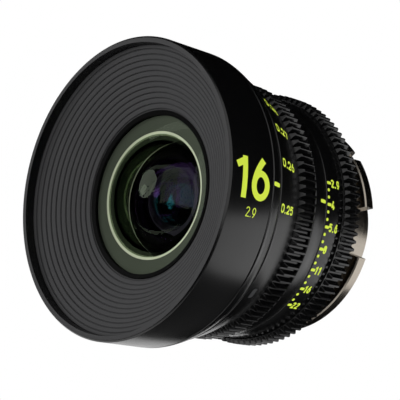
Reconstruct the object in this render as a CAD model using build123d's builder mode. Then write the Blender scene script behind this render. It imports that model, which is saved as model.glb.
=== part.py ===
from build123d import *
from collections import namedtuple
from math import atan2, cos, degrees, hypot, radians, sin, sqrt
import os

os.makedirs("parts", exist_ok=True)

# Frame: the optical axis is Y, the front looks toward -Y and the mount toward +Y.
# The origin is the centre of the flange seat, so every station is a distance from the seat.

# Driving dimensions
front_diameter = 95.0
front_overhang = 80.0
gear_module = 0.8
gear_teeth = 104
register_diameter = 54.0
wing_diameter = 72.0

# Motion: throw of each ring in degrees, where it rests from its near or open end, and the focus travel
focus_throw = 300.0
focus_rest = 8.6
focus_travel = 3.0
iris_throw = 58.5
iris_rest = 8.5
blade_count = 9
widest_stop = 2.9
smallest_stop = 22.0

# Lengths along the axis, from the rim back to the mount
front_barrel_length = 18.0
index_ring_length = 5.0
focus_scale_length = 13.9
focus_gear_length = 6.9
middle_ring_length = 6.4
iris_scale_length = 6.6
iris_gear_length = 8.5
rear_barrel_length = 7.9
wing_thickness = 4.0

# Radial walls
rim_face_width = 2.0
barrel_wall = 3.9
ring_wall = 6.6
tube_wall = 2.0
helicoid_wall = 3.0
spigot_wall = 2.0

# Clearances, edges and cuts
running_gap = 0.05
seat_gap = 0.1
seam = 0.35
edge_cut = 0.3
overrun = 1.0
full_turn = 360.0

# Stations that follow from the lengths
rim_y = -front_overhang
front_barrel_back_y = rim_y + front_barrel_length
index_ring_back_y = front_barrel_back_y + index_ring_length
focus_scale_back_y = index_ring_back_y + focus_scale_length
focus_gear_back_y = focus_scale_back_y + focus_gear_length
middle_ring_back_y = focus_gear_back_y + middle_ring_length
iris_scale_back_y = middle_ring_back_y + iris_scale_length
iris_gear_back_y = iris_scale_back_y + iris_gear_length
rear_barrel_back_y = iris_gear_back_y + rear_barrel_length
seat_y = 0.0
wing_front_y = seat_y - wing_thickness

# Radii that pieces share
front_radius = front_diameter / 2
gear_tip_radius = gear_module * (gear_teeth + 2) / 2
gear_root_radius = gear_module * (gear_teeth - 2.5) / 2
tube_radius = gear_root_radius - ring_wall
tube_bore = tube_radius - tube_wall
bearing_radius = tube_radius + running_gap
helicoid_radius = tube_radius + helicoid_wall
helicoid_bore = helicoid_radius + running_gap
spigot_radius = helicoid_radius + spigot_wall
register_radius = register_diameter / 2

# Screws with a round head and a hexagon socket
screw_radius = 1.25
screw_head_radius = 2.1
screw_head_height = 1.3
small_screw_radius = 1.0
small_head_radius = 1.9
socket_radius = 1.0
socket_depth = 0.8


def station(y):
    """Return the cross-section plane at y, with X across and Z up."""
    return Plane.XZ.offset(-y)


def radial_plane(angle, y, distance):
    """Return the plane square to the radius at this angle, at a distance from the axis."""
    outward = Vector(cos(radians(angle)), 0, sin(radians(angle)))
    return Plane(origin=outward * distance + Vector(0, y, 0), x_dir=(0, 1, 0), z_dir=outward)


def polar_point(radius, angle):
    """Return the point at a radius and an angle in a cross-section."""
    return (radius * cos(radians(angle)), radius * sin(radians(angle)))


def spot(radius, angle):
    """Return the place in a cross-section at a radius and an angle."""
    return Location((*polar_point(radius, angle), 0))


def spread(count, first=0):
    """Return evenly spaced angles round the axis."""
    return [first + full_turn * index / count for index in range(count)]


def sector(inner_radius, outer_radius, start, size):
    """Draw the outline of a part of a flat ring."""
    CenterArc((0, 0), inner_radius, start, size)
    CenterArc((0, 0), outer_radius, start, size)
    Line(polar_point(inner_radius, start), polar_point(outer_radius, start))
    Line(polar_point(inner_radius, start + size), polar_point(outer_radius, start + size))


def sag(curvature_radius, height):
    """Return how far a spherical surface falls back at a height above the axis."""
    size = abs(curvature_radius)
    fall = size - sqrt(size * size - height * height)
    return fall if curvature_radius > 0 else -fall


def finish(piece, name):
    """Label a finished piece and write it."""
    piece.part.label = name
    export_step(piece.part, f"parts/{name}.step")


# Front barrel: a straight cylinder with a narrow face, a baffle seat and a rear web
rim_bore = front_radius - rim_face_width
barrel_bore = front_radius - barrel_wall
baffle_seat_depth = 5.0
baffle_seat_y = rim_y + baffle_seat_depth
web_thickness = 3.0
web_bore = tube_radius + seat_gap
web_front_y = front_barrel_back_y - web_thickness
cell_screw_count = 6
cell_screw_circle = tube_radius + 3.2
cell_screw_first_angle = 30
tube_screw_circle = tube_radius + 4.4
tube_screw_first_angle = 60

with BuildPart() as front_barrel:
    with BuildSketch(Plane.XY):
        with BuildLine():
            Polyline(
                (rim_bore, rim_y),
                (front_radius - edge_cut, rim_y),
                (front_radius, rim_y + edge_cut),
                (front_radius, front_barrel_back_y - edge_cut),
                (front_radius - edge_cut, front_barrel_back_y),
                (web_bore, front_barrel_back_y),
                (web_bore, web_front_y),
                (barrel_bore, web_front_y),
                (barrel_bore, baffle_seat_y),
                (rim_bore, baffle_seat_y),
                close=True,
            )
        make_face()
    revolve(axis=Axis.Y)
    # Tapped holes for the lens cell from the front and for the main tube from behind
    with BuildSketch(station(web_front_y)):
        with PolarLocations(cell_screw_circle, cell_screw_count, cell_screw_first_angle):
            Circle(screw_radius)
        with PolarLocations(tube_screw_circle, cell_screw_count, tube_screw_first_angle):
            Circle(screw_radius)
    extrude(amount=-web_thickness, mode=Mode.SUBTRACT)
finish(front_barrel, "front_barrel")

# Glass elements, from the front. A negative curvature is centred toward the front.
Glass = namedtuple("Glass", "front_curve back_curve half_height back_height vertex thickness")
front_glass_radius = 26.5
front_bowl_radius = 18.2
second_glass_radius = 18.5
second_bowl_radius = 13.0
third_glass_radius = 13.2
focus_glass_radius = 11.0
rear_glass_radius = 12.0
front_vertex_y = rim_y + 7.0
second_vertex_y = rim_y + 16.0
third_vertex_y = rim_y + 27.0
focus_vertex_y = rim_y + 35.1
focus_joint_y = focus_vertex_y + 1.2
relay_vertex_y = rim_y + 58.7
relay_joint_y = relay_vertex_y + 6.0
rear_vertex_y = seat_y + 7.2
last_vertex_y = seat_y + 15.4
glass_elements = {
    "front_element": Glass(52.0, 23.7, front_glass_radius, front_bowl_radius, front_vertex_y, 3.0),
    "second_element": Glass(34.0, 15.5, second_glass_radius, second_bowl_radius, second_vertex_y, 2.2),
    "third_element": Glass(28.0, -45.0, third_glass_radius, third_glass_radius, third_vertex_y, 7.0),
    "focus_front_element": Glass(-60.0, 26.0, focus_glass_radius, focus_glass_radius, focus_vertex_y, 1.2),
    "focus_back_element": Glass(26.0, -45.0, focus_glass_radius, focus_glass_radius, focus_joint_y, 5.0),
    "relay_front_element": Glass(24.0, -24.0, focus_glass_radius, focus_glass_radius, relay_vertex_y, 6.0),
    "relay_back_element": Glass(-24.0, 60.0, focus_glass_radius, focus_glass_radius, relay_joint_y, 1.4),
    "rear_front_element": Glass(30.0, -90.0, rear_glass_radius, rear_glass_radius, rear_vertex_y, 5.0),
    "rear_back_element": Glass(60.0, -60.0, rear_glass_radius, rear_glass_radius, last_vertex_y, 4.0),
}


def front_of(name, height):
    """Return the station of the front surface of a glass element at a height above the axis."""
    glass = glass_elements[name]
    return glass.vertex + sag(glass.front_curve, height)


def back_of(name, height):
    """Return the station of the back surface of a glass element at a height above the axis."""
    glass = glass_elements[name]
    return glass.vertex + glass.thickness + sag(glass.back_curve, height)


for glass_name, glass in glass_elements.items():
    top = glass.half_height
    rim = glass.back_height
    edge_front = front_of(glass_name, top)
    edge_back = back_of(glass_name, rim)
    back_vertex = back_of(glass_name, 0)
    with BuildPart() as element:
        with BuildSketch(Plane.XY):
            with BuildLine():
                ThreePointArc((0, glass.vertex), (top / 2, front_of(glass_name, top / 2)), (top, edge_front))
                Line((top, edge_front), (top, edge_back))
                if top > rim:
                    Line((top, edge_back), (rim, edge_back))
                ThreePointArc((rim, edge_back), (rim / 2, back_of(glass_name, rim / 2)), (0, back_vertex))
                Line((0, back_vertex), (0, glass.vertex))
            make_face()
        revolve(axis=Axis.Y)
    finish(element, glass_name)

# Light baffle: a conical funnel with twelve fine grooves that step down to the glass
baffle_outer_radius = rim_bore - running_gap
baffle_recess = 3.2
baffle_front_y = rim_y + baffle_recess
baffle_band_radius = rim_bore - 0.6
groove_count = 12
groove_outer = (rim_bore - 1.3, rim_y + 3.5)
groove_inner = (front_glass_radius + 0.6, rim_y + 12.2)
groove_half_width = 0.28
groove_depth = 0.55
baffle_mouth = (front_glass_radius + 0.3, groove_inner[1] + 0.15)
baffle_wall = 1.3
baffle_lip = 0.7

cone_run = (groove_outer[0] - groove_inner[0], groove_outer[1] - groove_inner[1])
up_cone = Vector(*cone_run).normalized()
into_wall = Vector(-up_cone.Y, up_cone.X)
funnel = [(baffle_outer_radius, baffle_front_y), (baffle_band_radius, baffle_front_y)]
for index in reversed(range(groove_count)):
    share = index / (groove_count - 1)
    middle = Vector(groove_inner[0] + cone_run[0] * share, groove_inner[1] + cone_run[1] * share)
    funnel.append(middle + up_cone * groove_half_width)
    funnel.append(middle + into_wall * groove_depth)
    if index > 0:
        funnel.append(middle - up_cone * groove_half_width)
funnel.append(baffle_mouth)
funnel.append((baffle_mouth[0], baffle_mouth[1] + baffle_lip))
funnel.append((barrel_bore + seat_gap, baffle_front_y + baffle_wall))
funnel.append((barrel_bore + seat_gap, baffle_seat_y))
funnel.append((baffle_outer_radius, baffle_seat_y))

with BuildPart() as light_baffle:
    with BuildSketch(Plane.XY):
        with BuildLine():
            Polyline(*funnel, close=True)
        make_face()
    revolve(axis=Axis.Y)
finish(light_baffle, "light_baffle")

# Front lens cell: a stepped cup that holds the three front elements
ledge = 0.5
glass_gap = 0.05
ring_width = 1.0
neck_wall = 3.5
cell_nose_bore = front_glass_radius + ledge
cell_flange_radius = tube_radius + 6.0
cell_flange_y = baffle_mouth[1] + baffle_lip + seam
cell_body_radius = tube_bore - running_gap
front_glass_back = back_of("front_element", front_bowl_radius)
second_glass_back = back_of("second_element", second_bowl_radius)
third_glass_front = front_of("third_element", third_glass_radius - ring_width)
third_glass_back = back_of("third_element", third_glass_radius - ledge)
cell_wall = 1.6
cell_waist_radius = second_glass_radius + neck_wall
cell_neck_radius = third_glass_radius + neck_wall
cell_back_y = third_glass_back + cell_wall / 2

with BuildPart() as front_lens_cell:
    with BuildSketch(Plane.XY):
        with BuildLine():
            Polyline(
                (cell_nose_bore, cell_flange_y),
                (cell_flange_radius, cell_flange_y),
                (cell_flange_radius, web_front_y),
                (cell_body_radius, web_front_y),
                (cell_body_radius, front_glass_back + cell_wall),
                (cell_waist_radius, front_glass_back + cell_wall),
                (cell_waist_radius, second_glass_back + cell_wall),
                (cell_neck_radius, second_glass_back + cell_wall),
                (cell_neck_radius, cell_back_y),
                (third_glass_radius - ledge, cell_back_y),
                (third_glass_radius - ledge, third_glass_back),
                (third_glass_radius + glass_gap, third_glass_back),
                (third_glass_radius + glass_gap, second_glass_back),
                (second_glass_radius + glass_gap, second_glass_back),
                (second_glass_radius + glass_gap, front_glass_back),
                (cell_nose_bore, front_glass_back),
                close=True,
            )
        make_face()
    revolve(axis=Axis.Y)
    with BuildSketch(station(cell_flange_y)):
        with PolarLocations(cell_screw_circle, cell_screw_count, cell_screw_first_angle):
            Circle(screw_radius)
    extrude(amount=cell_flange_y - web_front_y, mode=Mode.SUBTRACT)
finish(front_lens_cell, "front_lens_cell")

# Ring that holds the front glass and shows as a plain black lip round it
lip_width = 2.1
lip_inner_radius = front_glass_radius - lip_width
lip_front_y = baffle_mouth[1] - 0.25
lip_radius = baffle_mouth[0] - 0.2
front_glass_at_lip = front_of("front_element", lip_inner_radius)
front_glass_edge = front_of("front_element", front_glass_radius)

with BuildPart() as front_retaining_ring:
    with BuildSketch(Plane.XY):
        with BuildLine():
            Polyline(
                (lip_inner_radius, front_glass_at_lip - seat_gap),
                (lip_inner_radius, lip_front_y),
                (lip_radius, lip_front_y),
                (lip_radius, cell_flange_y + seat_gap),
                (cell_nose_bore - running_gap, cell_flange_y + seat_gap),
                (cell_nose_bore - running_gap, front_glass_edge - seat_gap),
                (front_glass_radius, front_glass_edge - seat_gap * 2),
                close=True,
            )
        make_face()
    revolve(axis=Axis.Y)
finish(front_retaining_ring, "front_retaining_ring")

# Ring that holds the second glass in its seat, just behind the front glass
second_ring_bore = second_glass_radius - ring_width
second_glass_at_ring = front_of("second_element", second_ring_bore)
second_glass_edge = front_of("second_element", second_glass_radius)

with BuildPart() as second_retaining_ring:
    with BuildSketch(Plane.XY):
        with BuildLine():
            Polyline(
                (second_ring_bore, front_glass_back + seat_gap),
                (second_glass_radius, front_glass_back + seat_gap),
                (second_glass_radius, second_glass_edge - seat_gap),
                (second_ring_bore, second_glass_at_ring - seat_gap),
                close=True,
            )
        make_face()
    revolve(axis=Axis.Y)
finish(second_retaining_ring, "second_retaining_ring")

with BuildPart() as element_spacer:
    with BuildSketch(station(second_glass_back + seat_gap)):
        Circle(third_glass_radius)
        Circle(third_glass_radius - ring_width, mode=Mode.SUBTRACT)
    extrude(amount=second_glass_back - third_glass_front + seat_gap * 2)
finish(element_spacer, "element_spacer")

with BuildPart() as front_cell_screws:
    for angle in spread(cell_screw_count, cell_screw_first_angle):
        with BuildSketch(station(cell_flange_y)):
            with Locations(spot(cell_screw_circle, angle)):
                Circle(screw_head_radius)
        extrude(amount=screw_head_height)
        with BuildSketch(station(cell_flange_y)):
            with Locations(spot(cell_screw_circle, angle)):
                Circle(screw_radius - running_gap)
        extrude(amount=cell_flange_y - front_barrel_back_y + edge_cut)
        with BuildSketch(station(cell_flange_y - screw_head_height)):
            with Locations(spot(cell_screw_circle, angle)):
                RegularPolygon(socket_radius, 6)
        extrude(amount=-socket_depth, mode=Mode.SUBTRACT)
finish(front_cell_screws, "front_cell_screws")

# Main tube: it carries every ring, with slots for the guide keys and for the iris drive pins
tube_flange_radius = tube_radius + 8.0
tube_flange_thickness = 3.0
tube_flange_back_y = front_barrel_back_y + tube_flange_thickness
tube_back_y = iris_gear_back_y + seam
tube_web_thickness = 3.0
tube_web_front_y = tube_back_y - tube_web_thickness
register_bore = register_radius - 1.6
rear_cell_radius = register_bore - 1.5
tube_web_bore = rear_cell_radius + 3.6
key_count = 3
key_first_angle = 90
key_width = 6.0
key_length = 7.5
key_gap = 0.03
nut_length = 10.0
nut_middle_y = index_ring_back_y + 8.6
key_inner_radius = tube_bore - 2.1
key_outer_radius = tube_radius + 2.0
focus_near = focus_travel * focus_rest / focus_throw
focus_far = focus_travel - focus_near
slot_end_gap = 0.6
drive_count = 2
drive_first_angle = 0
drive_pin_y = iris_scale_back_y - 3.2
drive_pin_radius = 1.0
drive_slot_half_width = 1.2
drive_pin_inner_radius = tube_bore - 4.0
drive_pin_outer_radius = tube_radius + 4.0
barrel_screw_count = 6
barrel_screw_first_angle = 21
barrel_screw_circle = (tube_web_bore + tube_bore) / 2
cell_pin_count = 3
cell_pin_radius = 0.8
cell_pin_y = iris_scale_back_y - 0.6
stop_pin_radius = 0.85
stop_pin_angle = 180
stop_pin_y = focus_gear_back_y - 3.0

with BuildPart() as main_tube:
    with BuildSketch(Plane.XY):
        with BuildLine():
            Polyline(
                (tube_bore, front_barrel_back_y),
                (tube_flange_radius, front_barrel_back_y),
                (tube_flange_radius, tube_flange_back_y),
                (tube_radius, tube_flange_back_y),
                (tube_radius, tube_back_y),
                (tube_web_bore, tube_back_y),
                (tube_web_bore, tube_web_front_y),
                (tube_bore, tube_web_front_y),
                close=True,
            )
        make_face()
    revolve(axis=Axis.Y)
    with BuildSketch(station(front_barrel_back_y)):
        with PolarLocations(tube_screw_circle, cell_screw_count, tube_screw_first_angle):
            Circle(screw_radius)
    extrude(amount=-tube_flange_thickness, mode=Mode.SUBTRACT)
    # Straight slots for the guide keys
    slot_middle_y = nut_middle_y + (focus_far - focus_near) / 2
    for angle in spread(key_count, key_first_angle):
        with BuildSketch(radial_plane(angle, slot_middle_y, tube_bore - overrun)):
            Rectangle(key_length + focus_travel + slot_end_gap * 2, key_width + key_gap * 2)
        extrude(amount=tube_wall + overrun * 2, mode=Mode.SUBTRACT)
    # Arc slots for the iris drive pins
    slot_margin = degrees(drive_slot_half_width / tube_radius)
    for angle in spread(drive_count, drive_first_angle):
        with BuildSketch(station(drive_pin_y - drive_slot_half_width)):
            with BuildLine():
                sector(
                    tube_bore - overrun,
                    tube_radius + overrun,
                    angle - iris_rest - slot_margin,
                    iris_throw + slot_margin * 2,
                )
            make_face()
        extrude(amount=-drive_slot_half_width * 2, mode=Mode.SUBTRACT)
    # Holes for the rear barrel screws, the rear cell screws and the focus stop pin
    with BuildSketch(station(tube_web_front_y)):
        with PolarLocations(barrel_screw_circle, barrel_screw_count, barrel_screw_first_angle):
            Circle(small_screw_radius)
    extrude(amount=-tube_web_thickness, mode=Mode.SUBTRACT)
    for angle in spread(cell_pin_count, key_first_angle):
        with BuildSketch(radial_plane(angle, cell_pin_y, tube_bore - overrun)):
            Circle(cell_pin_radius)
        extrude(amount=tube_wall + overrun * 2, mode=Mode.SUBTRACT)
    with BuildSketch(radial_plane(stop_pin_angle, stop_pin_y, tube_bore - overrun)):
        Circle(stop_pin_radius)
    extrude(amount=tube_wall + overrun * 2, mode=Mode.SUBTRACT)
finish(main_tube, "main_tube")

with BuildPart() as main_tube_screws:
    for angle in spread(cell_screw_count, tube_screw_first_angle):
        with BuildSketch(station(tube_flange_back_y)):
            with Locations(spot(tube_screw_circle, angle)):
                Circle(screw_head_radius)
        extrude(amount=-screw_head_height)
        with BuildSketch(station(tube_flange_back_y)):
            with Locations(spot(tube_screw_circle, angle)):
                Circle(screw_radius - running_gap)
        extrude(amount=tube_flange_back_y - web_front_y - edge_cut)
        with BuildSketch(station(tube_flange_back_y + screw_head_height)):
            with Locations(spot(tube_screw_circle, angle)):
                RegularPolygon(socket_radius, 6)
        extrude(amount=socket_depth, mode=Mode.SUBTRACT)
finish(main_tube_screws, "main_tube_screws")

with BuildPart() as focus_stop_pin:
    stop_pin_height = helicoid_radius - tube_bore - 0.8
    with BuildSketch(radial_plane(stop_pin_angle, stop_pin_y, tube_bore)):
        Circle(stop_pin_radius - running_gap)
    extrude(amount=stop_pin_height)
finish(focus_stop_pin, "focus_stop_pin")

# Index ring: the curved shoulder behind the front barrel
index_inner_radius = tube_flange_radius + seat_gap
index_front_y = front_barrel_back_y + seat_gap
shoulder_drop = 1.6
shoulder_bulge = 0.25
index_back_radius = front_radius - shoulder_drop

with BuildPart() as index_ring:
    with BuildSketch(Plane.XY):
        with BuildLine():
            Polyline(
                (index_back_radius, index_ring_back_y),
                (index_inner_radius, index_ring_back_y),
                (index_inner_radius, index_front_y),
                (front_radius - edge_cut, index_front_y),
                (front_radius, index_front_y + edge_cut),
            )
            ThreePointArc(
                (front_radius, index_front_y + edge_cut),
                (front_radius - shoulder_drop / 2 + shoulder_bulge, (index_front_y + index_ring_back_y) / 2),
                (index_back_radius, index_ring_back_y),
            )
        make_face()
    revolve(axis=Axis.Y)
finish(index_ring, "index_ring")

# Focus scale ring: a tapering band with a front bearing lip and a rear spigot for its gear
focus_front_y = index_ring_back_y + seam
focus_front_radius = index_back_radius - seat_gap
focus_back_radius = gear_root_radius + 0.2
focus_middle_radius = (focus_front_radius + focus_back_radius) / 2 + 0.4
bearing_length = 2.0
spigot_length = 3.0
focus_spigot_y = focus_scale_back_y + spigot_length

with BuildPart() as focus_scale_ring:
    with BuildSketch(Plane.XY):
        with BuildLine():
            Polyline(
                (focus_back_radius, focus_scale_back_y),
                (spigot_radius, focus_scale_back_y),
                (spigot_radius, focus_spigot_y),
                (helicoid_bore, focus_spigot_y),
                (helicoid_bore, focus_front_y + bearing_length),
                (bearing_radius, focus_front_y + bearing_length),
                (bearing_radius, focus_front_y),
                (focus_front_radius - edge_cut, focus_front_y),
                (focus_front_radius, focus_front_y + edge_cut),
            )
            ThreePointArc(
                (focus_front_radius, focus_front_y + edge_cut),
                (focus_middle_radius, (focus_front_y + focus_scale_back_y) / 2),
                (focus_back_radius, focus_scale_back_y),
            )
        make_face()
    revolve(axis=Axis.Y)
finish(focus_scale_ring, "focus_scale_ring")

# Gear teeth: gaps of the standard 0.8 module, wide at the tips and narrow at the roots
tip_gap_share = 0.73
root_gap_share = 0.21
tooth_angle = full_turn / gear_teeth
tip_gap_half = tooth_angle * tip_gap_share / 2
root_gap_half = tooth_angle * root_gap_share / 2
tooth_bevel = 1.0
small_bevel = 0.35


def toothed_outline(tip_radius, root_radius, phase):
    """Draw the closed outline of a toothed ring with straight flanks and flat lands."""
    points = []
    for angle in spread(gear_teeth, phase):
        points.append(polar_point(root_radius, angle - root_gap_half))
        points.append(polar_point(root_radius, angle + root_gap_half))
        points.append(polar_point(tip_radius, angle + tip_gap_half))
        points.append(polar_point(tip_radius, angle + tooth_angle - tip_gap_half))
    Polyline(*points, close=True)


def toothed_band(start_y, end_y, tip_radius, root_radius, bore, phase):
    """Build a stretch of toothed ring from one station back to another."""
    with BuildSketch(station(start_y)) as band:
        with BuildLine():
            toothed_outline(tip_radius, root_radius, phase)
        make_face()
        Circle(bore, mode=Mode.SUBTRACT)
    extrude(band.sketch, amount=start_y - end_y)


def bevel_teeth(end_y, length):
    """Cut a cone off the tooth ends at a station; a positive length runs back from it."""
    slope = length / (gear_tip_radius - gear_root_radius)
    outer = gear_tip_radius + overrun
    with BuildSketch(Plane.XY) as corner:
        with BuildLine():
            Polyline(
                (gear_root_radius, end_y),
                (outer, end_y + slope * (outer - gear_root_radius)),
                (outer, end_y),
                close=True,
            )
        make_face()
    revolve(corner.sketch, axis=Axis.Y, mode=Mode.SUBTRACT)


focus_gear_front_y = focus_scale_back_y + seam
focus_gear_phase = 1.2
focus_lip_y = focus_gear_back_y - bearing_length
stop_lug_radius = tube_radius + 1.2
stop_lug_length = 1.8
stop_lug_gap = 0.4
lug_half_angle = (full_turn - focus_throw) / 2 - degrees(stop_pin_radius / stop_lug_radius) - stop_lug_gap
lug_middle_angle = stop_pin_angle - focus_rest - (full_turn - focus_throw) / 2

with BuildPart() as focus_gear_ring:
    gear_step_y = focus_spigot_y + seat_gap
    gear_sizes = (gear_tip_radius, gear_root_radius)
    toothed_band(focus_gear_front_y, gear_step_y, *gear_sizes, spigot_radius + running_gap, focus_gear_phase)
    toothed_band(gear_step_y, focus_lip_y, *gear_sizes, helicoid_bore, focus_gear_phase)
    toothed_band(focus_lip_y, focus_gear_back_y, *gear_sizes, bearing_radius, focus_gear_phase)
    bevel_teeth(focus_gear_front_y, tooth_bevel)
    bevel_teeth(focus_gear_back_y, -small_bevel)
    # Inner lug that meets the stop pin at both ends of the throw
    with BuildSketch(station(focus_lip_y - stop_lug_length)):
        with BuildLine():
            sector(
                stop_lug_radius,
                helicoid_bore + seam,
                lug_middle_angle - lug_half_angle,
                lug_half_angle * 2,
            )
        make_face()
    extrude(amount=-stop_lug_length)
finish(focus_gear_ring, "focus_gear_ring")

# Helicoid nut and its three guide keys, which ride in the slots of the main tube
with BuildPart() as helicoid_nut:
    with BuildSketch(station(nut_middle_y - nut_length / 2)):
        Circle(helicoid_radius)
        Circle(bearing_radius, mode=Mode.SUBTRACT)
    extrude(amount=-nut_length)
    for angle in spread(key_count, key_first_angle):
        with BuildSketch(radial_plane(angle, nut_middle_y, tube_radius - overrun)):
            Rectangle(key_length + running_gap, key_width + running_gap)
        extrude(amount=key_outer_radius + running_gap - tube_radius + overrun, mode=Mode.SUBTRACT)
        with BuildSketch(radial_plane(angle, nut_middle_y, key_outer_radius - overrun)):
            Circle(screw_radius)
        extrude(amount=helicoid_radius - key_outer_radius + overrun * 2, mode=Mode.SUBTRACT)
finish(helicoid_nut, "helicoid_nut")

with BuildPart() as guide_keys:
    for angle in spread(key_count, key_first_angle):
        with BuildSketch(radial_plane(angle, nut_middle_y, key_inner_radius)):
            Rectangle(key_length, key_width)
            Circle(screw_radius, mode=Mode.SUBTRACT)
        extrude(amount=key_outer_radius - key_inner_radius)
finish(guide_keys, "guide_keys")

with BuildPart() as guide_key_screws:
    key_screw_length = helicoid_radius - seat_gap - key_inner_radius
    for angle in spread(key_count, key_first_angle):
        with BuildSketch(radial_plane(angle, nut_middle_y, key_inner_radius)):
            Circle(screw_radius - running_gap)
        extrude(amount=key_screw_length)
        with BuildSketch(radial_plane(angle, nut_middle_y, key_inner_radius + key_screw_length)):
            RegularPolygon(screw_radius / 2, 6)
        extrude(amount=-socket_depth, mode=Mode.SUBTRACT)
finish(guide_key_screws, "guide_key_screws")

# Focus lens cell: a cup in the main tube that the keys carry
focus_glass_front = front_of("focus_front_element", focus_glass_radius)
focus_glass_back = back_of("focus_back_element", focus_glass_radius - ring_width)
focus_rim_radius = cell_body_radius - 3.45
focus_web_thickness = 1.8
focus_web_front_y = focus_glass_front - ledge
focus_web_back_y = focus_web_front_y + focus_web_thickness
focus_hub_radius = focus_glass_radius + 3.0
focus_hub_back_y = focus_glass_back + 0.9

with BuildPart() as focus_cell:
    with BuildSketch(Plane.XY):
        with BuildLine():
            Polyline(
                (cell_body_radius, nut_middle_y - nut_length / 2),
                (cell_body_radius, nut_middle_y + nut_length / 2),
                (focus_rim_radius, nut_middle_y + nut_length / 2),
                (focus_rim_radius, focus_web_back_y),
                (focus_hub_radius, focus_web_back_y),
                (focus_hub_radius, focus_hub_back_y),
                (focus_glass_radius + glass_gap, focus_hub_back_y),
                (focus_glass_radius + glass_gap, focus_glass_front),
                (focus_glass_radius - ledge, focus_glass_front),
                (focus_glass_radius - ledge, focus_web_front_y),
                (focus_rim_radius, focus_web_front_y),
                (focus_rim_radius, nut_middle_y - nut_length / 2),
                close=True,
            )
        make_face()
    revolve(axis=Axis.Y)
    for angle in spread(key_count, key_first_angle):
        with BuildSketch(radial_plane(angle, nut_middle_y, key_inner_radius - running_gap)):
            Rectangle(key_length + running_gap, key_width + running_gap)
        extrude(amount=tube_radius - key_inner_radius, mode=Mode.SUBTRACT)
finish(focus_cell, "focus_cell")

with BuildPart() as focus_retaining_ring:
    with BuildSketch(station(focus_glass_back + seat_gap)):
        Circle(focus_glass_radius)
        Circle(focus_glass_radius - ring_width, mode=Mode.SUBTRACT)
    extrude(amount=focus_glass_back + seat_gap - focus_hub_back_y)
finish(focus_retaining_ring, "focus_retaining_ring")

# Middle ring: fixed on the main tube between the focus and iris rings
middle_ring_front_y = focus_gear_back_y + seam
middle_front_radius = gear_root_radius + 0.9

with BuildPart() as middle_ring:
    with BuildSketch(Plane.XY):
        with BuildLine():
            Polyline(
                (tube_radius, middle_ring_front_y),
                (middle_front_radius - edge_cut, middle_ring_front_y),
                (middle_front_radius, middle_ring_front_y + edge_cut),
                (gear_root_radius, middle_ring_back_y),
                (tube_radius, middle_ring_back_y),
                close=True,
            )
        make_face()
    revolve(axis=Axis.Y)
finish(middle_ring, "middle_ring")

# Iris scale ring: a plain band with a spigot for its gear and holes for the drive pins
iris_front_y = middle_ring_back_y + seam
iris_scale_radius = gear_root_radius - 0.2
iris_spigot_radius = tube_radius + 3.4
iris_spigot_y = iris_scale_back_y + spigot_length

with BuildPart() as iris_scale_ring:
    with BuildSketch(Plane.XY):
        with BuildLine():
            Polyline(
                (bearing_radius, iris_front_y),
                (iris_scale_radius - edge_cut, iris_front_y),
                (iris_scale_radius, iris_front_y + edge_cut),
                (iris_scale_radius, iris_scale_back_y),
                (iris_spigot_radius, iris_scale_back_y),
                (iris_spigot_radius, iris_spigot_y),
                (bearing_radius, iris_spigot_y),
                close=True,
            )
        make_face()
    revolve(axis=Axis.Y)
    for angle in spread(drive_count, drive_first_angle):
        with BuildSketch(radial_plane(angle, drive_pin_y, tube_radius - overrun)):
            Circle(drive_pin_radius)
        extrude(amount=drive_pin_outer_radius + running_gap - tube_radius + overrun, mode=Mode.SUBTRACT)
finish(iris_scale_ring, "iris_scale_ring")

# Iris gear ring: a low toothed front row, a plain ridge and the full teeth behind it
low_row_length = 1.5
ridge_length = 0.7
low_tip_radius = iris_scale_radius + 0.15
low_root_radius = iris_scale_radius - 0.5
ridge_radius = gear_root_radius + 0.35
ridge_front_y = iris_scale_back_y + low_row_length
ridge_back_y = ridge_front_y + ridge_length
iris_gear_phase = 0.4
iris_gear_step_y = iris_spigot_y + seat_gap
iris_gear_bore = iris_spigot_radius + running_gap

with BuildPart() as iris_gear_ring:
    gear_sizes = (gear_tip_radius, gear_root_radius)
    toothed_band(ridge_back_y, iris_gear_step_y, *gear_sizes, iris_gear_bore, iris_gear_phase)
    toothed_band(iris_gear_step_y, iris_gear_back_y, *gear_sizes, bearing_radius, iris_gear_phase)
    bevel_teeth(ridge_back_y, tooth_bevel)
    bevel_teeth(iris_gear_back_y, -small_bevel)
    with BuildSketch(station(ridge_front_y)):
        Circle(ridge_radius)
        Circle(iris_gear_bore, mode=Mode.SUBTRACT)
    extrude(amount=-ridge_length)
    low_sizes = (low_tip_radius, low_root_radius)
    toothed_band(iris_scale_back_y, ridge_front_y, *low_sizes, iris_gear_bore, iris_gear_phase)
finish(iris_gear_ring, "iris_gear_ring")

with BuildPart() as iris_drive_pins:
    for angle in spread(drive_count, drive_first_angle):
        with BuildSketch(radial_plane(angle, drive_pin_y, drive_pin_inner_radius)):
            Circle(drive_pin_radius - running_gap)
        extrude(amount=drive_pin_outer_radius - drive_pin_inner_radius)
finish(iris_drive_pins, "iris_drive_pins")

# Iris mechanism: the closing angle of a blade follows from the widest and the smallest stop
stop_radius = 9.3
blade_open_radius = stop_radius + 0.3
blade_band_width = 4.6
pivot_circle = 17.0
pivot_radius = 0.5
arm_length = 7.5
arm_width = 2.2
lobe_width = 2.8
smallest_radius = stop_radius * widest_stop / smallest_stop
swing_share = (blade_open_radius - smallest_radius) / (2 * pivot_circle)
blade_swing = 2 * degrees(atan2(swing_share, sqrt(1 - swing_share * swing_share)))
blade_ratio = blade_swing / iris_throw
blade_rest = blade_ratio * iris_rest
housing_thickness = 1.5
housing_wall = 3.0
housing_front_y = middle_ring_back_y - 3.2
blade_thickness = 0.12
blade_pitch = 0.42
first_blade_y = housing_front_y + housing_thickness + blade_pitch / 2
cam_thickness = 2.0
cam_front_y = drive_pin_y - cam_thickness / 2

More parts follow.
